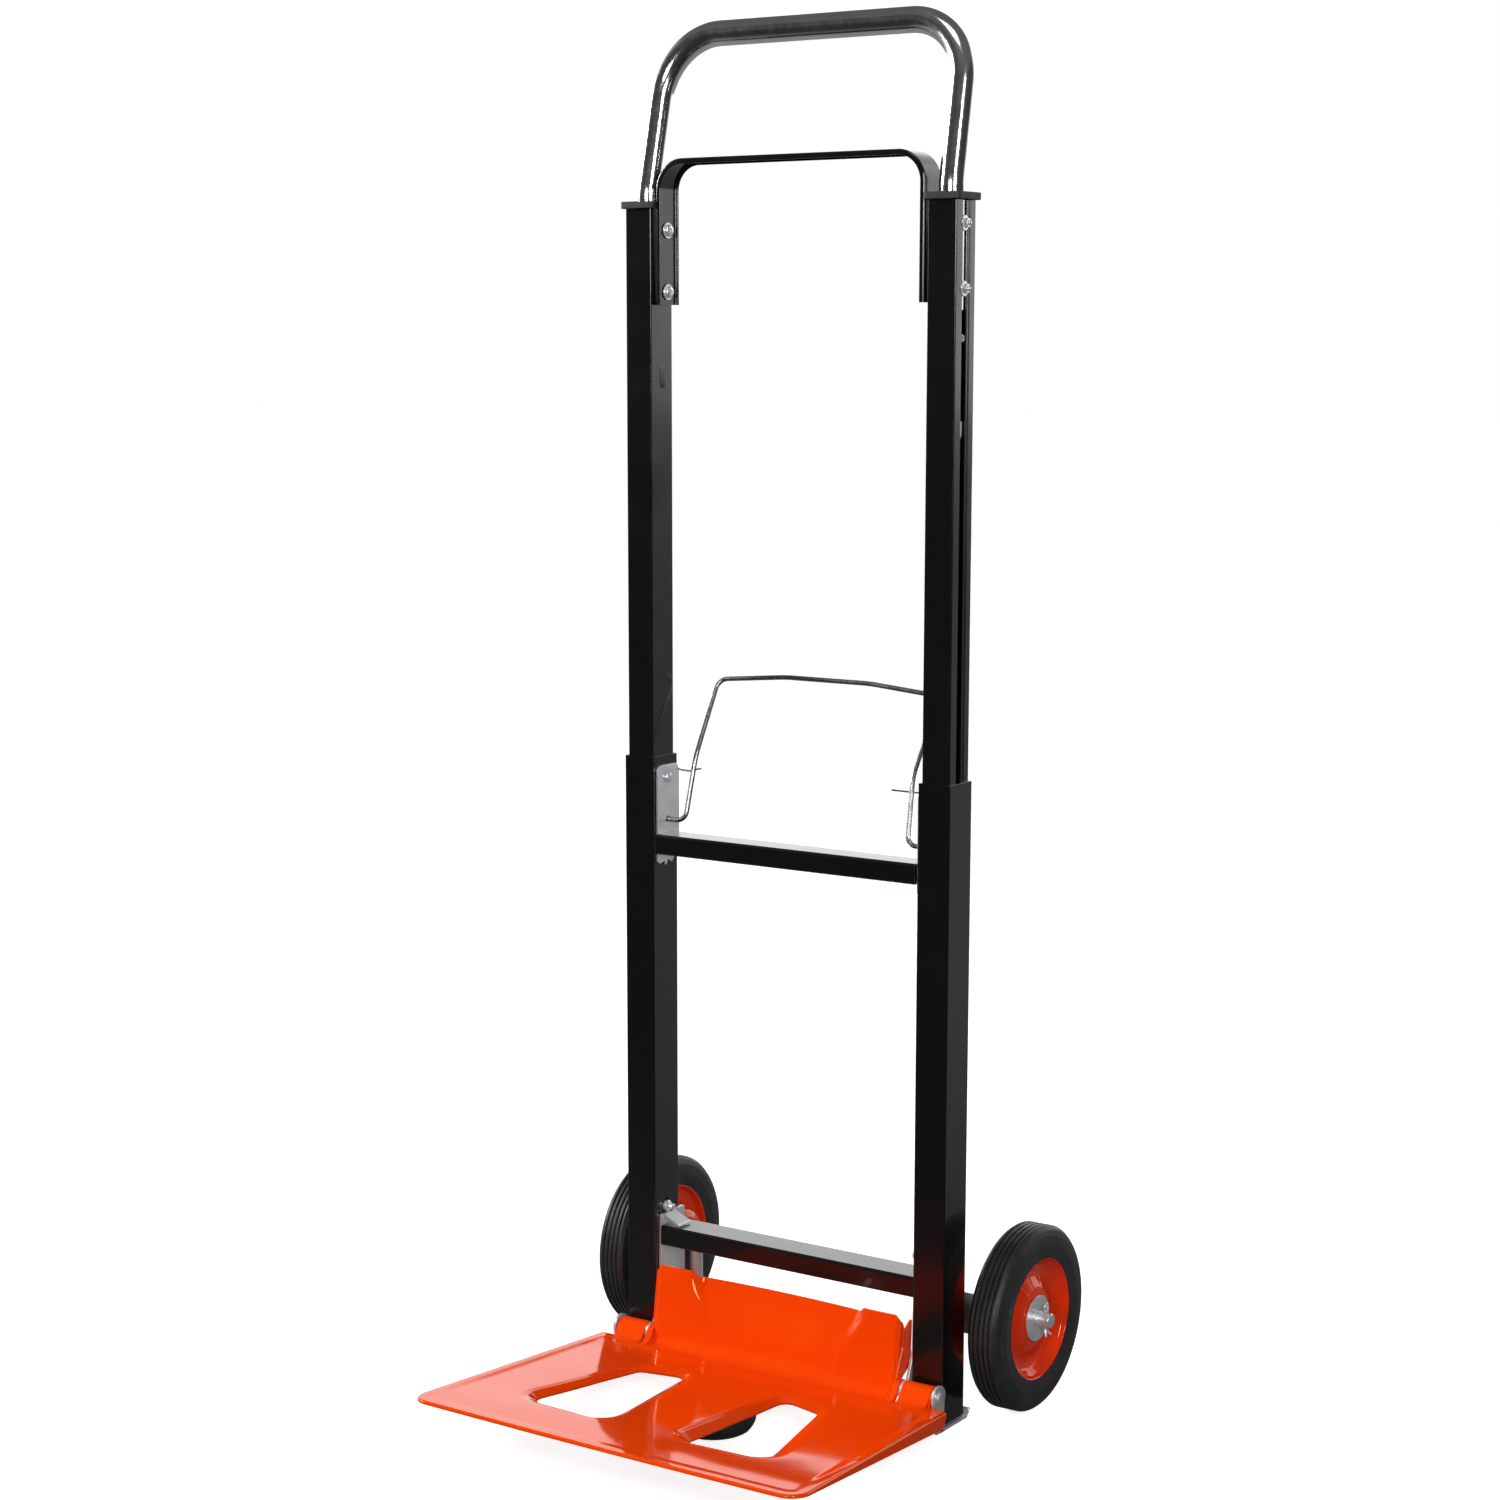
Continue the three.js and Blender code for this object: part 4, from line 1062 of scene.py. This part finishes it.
def offsetCutout(by, side):
    # the hole's outline grown outwards, the same number of points at every size
    lines = []
    for i, point in enumerate(cutout):
        here, ahead = Vector(point[:2]), Vector(cutout[(i + 1) % 4][:2])
        along = (ahead - here).normalized()
        out = Vector((-along.y, along.x)) * by
        if (here + ahead).length and out.dot((here + ahead) / 2 - Vector((70, -147))) < 0:
            out = -out
        lines.append((here + out, along))
    corners = []
    for i, point in enumerate(cutout):
        (a, u), (b, v) = lines[i - 1], lines[i]
        t = (b - a).cross(v) / u.cross(v)
        corners.append((*(a + u * t), point[2] + by))
    smoothLoop = []
    count = len(corners)
    for i, corner in enumerate(corners):
        arc = cornerArc(corners[i - 1], corner, corners[(i + 1) % count], 8)
        nextArc = cornerArc(corner, corners[(i + 1) % count], corners[(i + 2) % count], 8)
        smoothLoop.extend(arc)
        for s in range(1, 14):
            smoothLoop.append(arc[-1].lerp(nextArc[0], s / 14))
    return [(side * p.x, p.y) for p in smoothLoop]


def cornerArc(before, corner, after, steps):
    here = Vector(corner[:2])
    back = (Vector(before[:2]) - here).normalized()
    ahead = (Vector(after[:2]) - here).normalized()
    half = back.angle(ahead) / 2
    radius = corner[2]
    centre = here + (back + ahead).normalized() * radius / math.sin(half)
    start = here + back * radius / math.tan(half) - centre
    end = here + ahead * radius / math.tan(half) - centre
    turn = start.angle_signed(end)
    return [centre + Matrix.Rotation(-turn * s / steps, 2) @ start for s in range(steps + 1)]


def planPath(inset):
    # from the rear right corner round the front to the rear left, with the outward direction of each point
    lean = math.atan((toe["frontHalf"] - toe["rearHalf"]) / (toe["rear"] - toe["front"]))
    corner = toe["corner"]
    centreY = toe["front"] + corner
    centreX = halfWidth(centreY) - corner / math.cos(lean)
    half = []
    for y in [toe["rear"], -40, -44, toe["fold"]] + [toe["fold"] - 9.5 * i for i in range(1, 22)]:
        half.append((halfWidth(y) - inset / math.cos(lean), y, math.cos(lean), math.sin(lean)))
    for s in range(13):
        turn = lean + (-math.pi / 2 - lean) * s / 12
        half.append((centreX + (corner - inset) * math.cos(turn), centreY + (corner - inset) * math.sin(turn),
                     math.cos(turn), math.sin(turn)))
    for s in range(1, 28):
        half.append((centreX * (1 - s / 28), toe["front"] + inset, 0, -1))
    middle = [(0, toe["front"] + inset, 0, -1)]
    return half + middle + [(-x, y, -u, v) for x, y, u, v in half[::-1]]


def flangeHeight(y):
    along = (toe["rear"] - y) / (toe["rear"] - toe["front"])
    height = toe["flangeRear"] + (toe["flangeFront"] - toe["flangeRear"]) * min(along * 1.04, 1)
    ending = max(0, 7 - (toe["rear"] - y)) / 7
    return toe["edge"] + (height - toe["edge"]) * math.sqrt(max(1 - ending ** 2, 0.02))


class Sheet:
    # points and faces of one pressed sheet
    def __init__(self):
        self.points, self.faces = [], []

    def row(self, points):
        start = len(self.points)
        self.points.extend(points)
        return list(range(start, start + len(points)))

    def bridge(self, first, second, closed=False):
        count = len(first)
        for i in range(count if closed else count - 1):
            j = (i + 1) % count
            self.faces.append((first[i], first[j], second[j], second[i]))


def rearColumns():
    inner = toe["rearHalf"] - 15.2
    positions = [0, 8, 16, 24, 32, 40, 48, 54, 59, 62, 64, 66, 69, 72, 74, 76, 78, 80, 82, 84, 86, 89, 93,
                 98, 104, 109, 113]
    positions += [115.5, toe["apronHalf"], 124, 130, 137, 144]
    return [x for x in positions if x < inner]


def fillInterior(sheet, border, holes):
    flat, edges = [], []
    for loop in [border, *holes]:
        start = len(flat)
        flat.extend(Vector(p) for p in loop)
        edges.extend((start + i, start + (i + 1) % len(loop)) for i in range(len(loop)))
    rim = list(flat)
    step = 7.0
    rows = int(230 / step)
    for r in range(rows):
        y = toe["fold"] - 5 - r * step
        for c in range(-24, 25):
            spot = Vector(((c + 0.5 * (r % 2)) * step, y))
            if min((spot - p).length_squared for p in rim) > (step * 0.62) ** 2:
                flat.append(spot)
    points, _, faces, _, _, _ = delaunay_2d_cdt(flat, edges, [], 0, 1e-4)
    for a, b, c in faces:
        middle = (points[a] + points[b] + points[c]) / 3
        if not inside(middle, border) or any(inside(middle, hole) for hole in holes):
            continue
        ids = sheet.row([deckPoint(*points[i]) for i in (a, b, c)])
        sheet.faces.append(tuple(ids))


def inside(point, loop):
    hit = False
    for i, (x, y) in enumerate(loop):
        px, py = loop[i - 1]
        if (y > point.y) != (py > point.y) and point.x < (px - x) * (point.y - y) / (py - y) + x:
            hit = not hit
    return hit


def apronOffset(x, z):
    # forward-facing relief: the scooped middle leans back, three dimples and one bead stand out
    high = smooth(z, 44, toe["apronTop"])
    back = toe["scoop"] * high * smooth(86 - abs(x) - 16 * (1 - high), 0, 13)
    for spot in (-64, 0, 64):
        back -= dimple(x, z, (spot, 36), 4.5, 1.3)
    back -= 0.8 * smooth(1 - abs(x - 64) / 5) * smooth(z, 34, 42) * smooth(66 - z, 0, 10)
    return back


def apronRows(x):
    # path of one column from the deck, round the fold and up the apron: (y, z)
    lean, top = toe["apronLean"], toe["apronTop"]
    radius = toe["foldRadius"][0] + toe["foldRadius"][1] * (1 - (x / toe["apronHalf"]) ** 2)
    deckAngle, apronAngle = -math.atan(toe["slope"]), math.pi / 2 - math.atan(lean)
    z = deckPlane(-33)
    y = -33 + lean * (z - 22)
    reach = radius * math.tan((apronAngle - deckAngle) / 2)
    start = (y - reach * math.cos(deckAngle), z - reach * math.sin(deckAngle))
    centre = (start[0] - radius * math.sin(deckAngle), start[1] + radius * math.cos(deckAngle))
    rows = [(toe["fold"] + (start[0] - toe["fold"]) * s / 3, 0) for s in range(4)]
    rows = [(py, deckPlane(py)) for py, _ in rows]
    for s in range(1, 11):
        turn = deckAngle + (apronAngle - deckAngle) * s / 10
        rows.append((centre[0] + radius * math.sin(turn), centre[1] - radius * math.cos(turn)))
    edge = abs(x)
    high = top - toe["apronDip"] * smooth(84 - edge, 0, 8) * (0.75 + 0.25 * (edge / 84) ** 2)
    high -= 6 * smooth(edge, 113.6, 118)
    lowY, lowZ = rows[-1]
    for s in range(1, 27):
        pz = lowZ + (high - lowZ) * s / 26
        rows.append((lowY + lean * (pz - lowZ), pz))
    return rows


def makeToeSheet():
    sheet = Sheet()
    insets = [toe["edge"], 4, 5.5, 7, 8, 9, 10, 11, 12, 13, 15]
    paths = [planPath(d) for d in insets]
    rings = [sheet.row([deckPoint(x, y, inset) for x, y, _, _ in path]) for inset, path in zip(insets, paths)]
    for first, second in zip(rings, rings[1:]):
        sheet.bridge(first, second)
    # the edge rolled over and turned down
    below = rings[0]
    r = toe["edge"]
    for s in range(1, 8):
        angle = math.radians(15 * min(s, 6))
        row = []
        for x, y, u, v in planPath(0):
            out, drop = r * (math.sin(angle) - 1), r * (1 - math.cos(angle))
            if s == 7:
                drop = flangeHeight(y)
            px, py, _ = deckPoint(x + u * out, y + v * out, 0)
            row.append((px, py, deckPlane(y) - drop))
        ring = sheet.row(row)
        sheet.bridge(ring, below)
        below = ring
    # the pressed lips round both holes
    steps = [0, 0.6, 2, 3.5, 5, 6.4, 7.4, 8, 8.6, 9.2, 9.9, 10.8, 12, 13.5]
    holes = []
    for side in (1, -1):
        loops = [offsetCutout(d, side) for d in steps]
        rows = [sheet.row([deckPoint(x, y, 99, d) for x, y in loop]) for d, loop in zip(steps, loops)]
        for first, second in zip(rows, rows[1:]):
            sheet.bridge(first, second, True)
        holes.append(loops[-1])
    # deck between them, back to the fold line
    inner = [(x, y) for x, y, _, _ in paths[-1] if y <= toe["fold"] + 0.01]
    columns = rearColumns()
    line = [(-x, toe["fold"]) for x in columns[::-1]] + [(x, toe["fold"]) for x in columns[1:]]
    fillInterior(sheet, inner + line, holes)
    # strip behind the fold line, outside the apron
    for side in (1, -1):
        outer = [side * x for x in columns if x >= toe["apronHalf"]] + [side * (paths[-1][3][0])]
        rows = [sheet.row([deckPoint(x, y) for x in outer]) for y in (toe["fold"], -46, -42, -39)]
        for first, second in zip(rows, rows[1:]):
            sheet.bridge(first, second)
    # fold and apron
    wide = [x for x in columns if x <= toe["apronHalf"]]
    strips = []
    for x in [-c for c in wide[::-1]] + wide[1:]:
        column = []
        for i, (y, z) in enumerate(apronRows(x)):
            back = apronOffset(x, z) if i > 12 else apronOffset(x, z) * max(i - 4, 0) / 9
            across = min(max((abs(x) - 114.2) / 3.81, 0), 1)
            turnBack = 3.5 * (1 - math.cos(math.asin(across))) * smooth(i, 5, 14)
            column.append((x, y + back + turnBack, z))
        strips.append(sheet.row(column))
    for first, second in zip(strips, strips[1:]):
        sheet.bridge(first, second)
    mesh = cleaned(meshFrom(sheet.points, sheet.faces), 0.02)
    return thickened(mesh, toe["sheet"])


def thickened(mesh, thickness):
    work = bmesh.new()
    work.from_mesh(mesh)
    work.faces.ensure_lookup_table()
    up = sum(face.normal.z * face.calc_area() for face in work.faces)
    if up < 0:
        bmesh.ops.reverse_faces(work, faces=work.faces)
    work.to_mesh(mesh)
    work.free()
    holder = bpy.data.objects.new("sheet", mesh)
    bpy.context.scene.collection.objects.link(holder)
    solid = holder.modifiers.new("thickness", "SOLIDIFY")
    solid.thickness = thickness
    solid.offset = -1
    solid.use_even_offset = True
    graph = bpy.context.evaluated_depsgraph_get()
    result = bpy.data.meshes.new_from_object(holder.evaluated_get(graph))
    bpy.data.objects.remove(holder)
    return result


def makeKnuckle():
    # the sheet rolled round the hinge pin in front of each upright
    y, z, radius = hinge["y"], hinge["z"], hinge["knuckle"]
    outer = arcPoints((y, z), radius, 146, -60, 22)
    inner = arcPoints((y, z), radius - toe["sheet"], -60, 198, 26)
    lead = [(-47, deckPlane(-47)), (-43, deckPlane(-43) + 0.4), (-39.6, deckPlane(-40) + 1.8),
            (-36.9, deckPlane(-37) + 4.3), (-34.8, deckPlane(-35) + 7.2)]
    under = [(-37.5, deckPlane(-37) - 1.6), (-44, deckPlane(-44) - toe["sheet"])]
    section = lead + outer + inner + under
    parts = [plateX(section, [], tubeInner + 0.1, railX + 11.6, 0.25)]
    parts.append(plateX(section, [], toe["apronHalf"] - 2, tubeInner - 3, 0.2))
    leaf = roundCorners([(-44, 22.5), (-44, deckPlane(-44) - 0.1), (-36, deckPlane(-36) + 0.4),
                         (-34.8, 31, 3), (-31, 36.5, 4), (-25, 37.5, 3), (-22, 34), (-22, 24), (-34, 22)],
                         1)
    parts.append(plateX(leaf, [], railX + 12, railX + 13.5, 0.25))
    return joined(*parts)


def makeCheek():
    # the apron's side, turned back beside the upright
    half = toe["apronHalf"]
    outline = roundCorners([(-31, 31, 1), (-8, 45, 3), (-6, 83, 1.5), (-12, 79, 1), (-17, 75, 2),
                            (-20.5, 83, 1), (-23.5, 84)],
                           1, 4)
    return plateX(outline, [], half - 1.9, half - 0.1, 0.3)


padFoot = {"y": -113, "clear": 0.4, "topFrom": 19}


def makePadFoot():
    # a rubber button whose top follows the sloping underside of the deck
    profile = [(0, 0), (24, 0), (27.5, 0.4), (29.6, 1.6), (31.8, 4.5), (33.4, 7.5), (34, 10), (33.8, 12),
               (32.6, 14.5), (31.4, 17), (31, 19), (31, 23), (0, 23)]
    upright = Matrix.Translation((0, padFoot["y"], 0)) @ quarterZ
    mesh = moved(turned(profile, 64), upright)
    low = min(v.co.z for v in mesh.vertices)
    for vertex in mesh.vertices:
        height = vertex.co.z - low
        limit = deckPlane(vertex.co.y) - toe["sheet"] - padFoot["clear"]
        vertex.co.z = height if height < padFoot["topFrom"] else min(height + 20, limit)
    return mesh


def buildToePlate():
    pieces = [makeToeSheet()]
    knuckle, cheek = makeKnuckle(), makeCheek()
    for part in (knuckle, cheek):
        pieces += [part, moved(part, mirrorX)]
    show("toePressing", joined(*pieces), "orange", "toe_plate", ["toe_plate"], crease=50)
    show("toePadFoot", makePadFoot(), "footRubber", "toe_plate", ["toe_foot"], crease=60)
    print("toe plate built")


buildToePlate()

# ---- wheels ----
wheel = {"radius": 75, "y": 68.1, "axle": 6, "legX": 149.7, "ribs": 12, "ribHeight": 0.35}
grooves = {"places": (173, 177.4, 181.8, 186.2), "half": 0.8, "depth": 2.0}
splitPin = {"x": 197.8, "eye": 2.8, "spread": 4.5}


def atAxle(mesh):
    return shifted(mesh, 0, wheel["y"], wheel["radius"])


def makeTyre():
    # solid rubber, its section drawn as (radius, x), with four grooves in the tread
    inner = roundCorners([(50.8, 165.7), (60, 164.6, 12), (68, 165.3, 6), (72.6, 167.2, 4), (75, 170.4, 3),
                          (75, 171, 1)],
                         2, 5, False)
    outer = roundCorners([(75, 188.4, 1), (74.6, 189.6, 3), (72, 192.4, 4), (67, 193.7, 6), (60, 194.3, 12),
                          (52, 193.4)], 2, 5, False)
    tread = []
    half, depth = grooves["half"], grooves["depth"]
    for x in grooves["places"]:
        tread += [(75, x - half - 0.3), (74.8, x - half), (75 - depth, x - 0.3), (75 - depth, x + 0.3),
                  (74.8, x + half), (75, x + half + 0.3)]
    return atAxle(turned(inner + tread + outer + [(49, 193), (49, 166.2)], 128, True))


def ribbed(mesh, low, high, count, height):
    for vertex in mesh.vertices:
        r = math.hypot(vertex.co.y, vertex.co.z)
        if low < r < high:
            angle = math.atan2(vertex.co.z, vertex.co.y)
            wave = max(0, math.cos(count * angle)) ** 10
            vertex.co.x += height * wave * smooth(r, low, low + 3) * smooth(high - r, 0, 3)
    mesh.update()
    return mesh


def makeOuterRim():
    # domed disc round the hub, a shallow channel, and the lip that holds the tyre
    front = roundCorners([(6.6, 188.7), (17, 188.7, 8), (25, 187, 9), (32.5, 182.8, 6), (37, 182.2, 4),
                          (42.5, 183.8, 4), (47, 188.9, 4), (48.6, 192.5, 1.2), (51.7, 192.8, 0.8),
                          (51.9, 191, 0.4)], 1, 6, False)
    back = roundCorners([(50.2, 190.6), (48.4, 184.4, 3), (43.4, 181.2, 4), (34, 180.4, 5), (31.4, 180.9, 5),
                         (24.5, 185, 8), (17, 186.7, 6), (6.6, 186.7)], 1, 4, False)
    return atAxle(ribbed(turned(front + back, 192, True), 20, 46, wheel["ribs"], wheel["ribHeight"]))


def makeInnerRim():
    # the deeper dish, its boss next to the bracket's leg
    profile = roundCorners([(6.6, 154.8), (22, 154.8, 2), (28, 157.8, 3), (30.5, 172.8, 4), (35, 179, 4),
                            (43.4, 179, 4), (48.4, 174.4, 3), (50.2, 168), (51.8, 167.6),
                            (51.7, 165.8, 0.8), (48.6, 166.1, 1.2), (46.5, 171.8, 3), (42, 176.4, 4),
                            (36.5, 176.2, 4), (32.4, 169.8, 4), (30, 155.8, 4), (24, 152.8, 3),
                            (6.6, 152.8)], 1, 5)
    return atAxle(turned(profile, 128, True))


def makeAxle():
    leg = wheel["legX"]
    profile = [(0, leg - 4.3), (6.4, leg - 4.3), (7.4, leg - 4.0), (8.6, leg - 3.2), (9, leg - 2.6),
               (9, leg - 0.3), (6, leg - 0.3), (6, 201.6), (5.7, 202.3), (5, 202.8), (0, 202.8)]
    shaft = turned(profile, 48)
    hole = shifted(moved(plainBar(2, -9, 9), quarterZ), splitPin["x"])
    return atAxle(drilled(shaft, hole))


def makeWasher():
    section = roundCorners([(6.4, 189.2), (18.4, 189.2), (18.4, 190.8), (6.4, 190.8)], 0.35, 3)
    return atAxle(turned(section, 64, True))


def makeSplitPin():
    # round eye above, two legs through the axle, spread below
    x, z = splitPin["x"], splitPin["spread"]
    parts = []
    for side in (-1, 1):
        leg = bendRun([((x, side * 0.75, 8.5), 0, 0), ((x, side * 0.75, -7), 2, 4),
                       ((x + 1.2, side * z * 0.5, -11), 2.5, 4), ((x + 2.2, side * z, -12.6), 0, 0)])
        parts.append(wire(leg, 0.8, 12))
    reach = splitPin["eye"]
    turns = [math.radians(14 + 332 * i / 26) for i in range(27)]
    eye = [Vector((x, reach * math.sin(a), 8 + reach - reach * math.cos(a))) for a in turns]
    parts.append(wire(eye, 0.8, 12))
    return atAxle(joined(*parts))


def makeWheelBracket():
    # hinge barrel, web and the leg that carries the axle
    look = wheelPin
    y, low, high, legX = look["y"], look["bottom"], look["top"], wheel["legX"]
    pin, hub = (look["x"], y), (wheel["y"], wheel["radius"])
    leg = [(y + 3.4, low)] + arcPoints(hub, 18, -90, 90, 26) + [(y + 3.4, high)]
    web = [(y + 3.3, low), (y + 5.5, low), (y + 5.5, high), (y + 3.3, high)]
    parts = [plateX(leg, [ringOutline(wheel["axle"] + gap, hub, 32)], legX, legX + 2.3),
             plateX(web, [], look["x"], legX + 2.2)]
    bore = ringOutline(look["radius"] + gap, pin, 28)
    barrel = slab(ringOutline(look["knuckle"], pin, 40), [bore], low, high, 0.35)
    return joined(barrel, *parts)


def buildWheels():
    showPair("wheelBracket", makeWheelBracket(), "zinc", "wheel_bracket_{side}", "wheel_bracket")
    showPair("wheelAxle", makeAxle(), "zinc", "wheel_bracket_{side}", "axle")
    showPair("wheelWasher", makeWasher(), "zinc", "wheel_bracket_{side}", "axle_washer")
    showPair("splitPin", makeSplitPin(), "zinc", "wheel_bracket_{side}", "split_pin")
    showPair("wheelTyre", makeTyre(), "tyre", "wheel_{side}", "tyre", crease=60)
    showPair("wheelRimOuter", makeOuterRim(), "rimRed", "wheel_{side}", "rim_outer", crease=60)
    showPair("wheelRimInner", makeInnerRim(), "rimRed", "wheel_{side}", "rim_inner", crease=60)
    bush = atAxle(turned([(6.4, 155.1), (6.4, 182.2), (8.8, 182.2), (8.8, 155.1)], 32, True))
    showPair("wheelBush", bush, "capPlastic", "wheel_{side}", "wheel_bush")
    print("wheels built")


buildWheels()
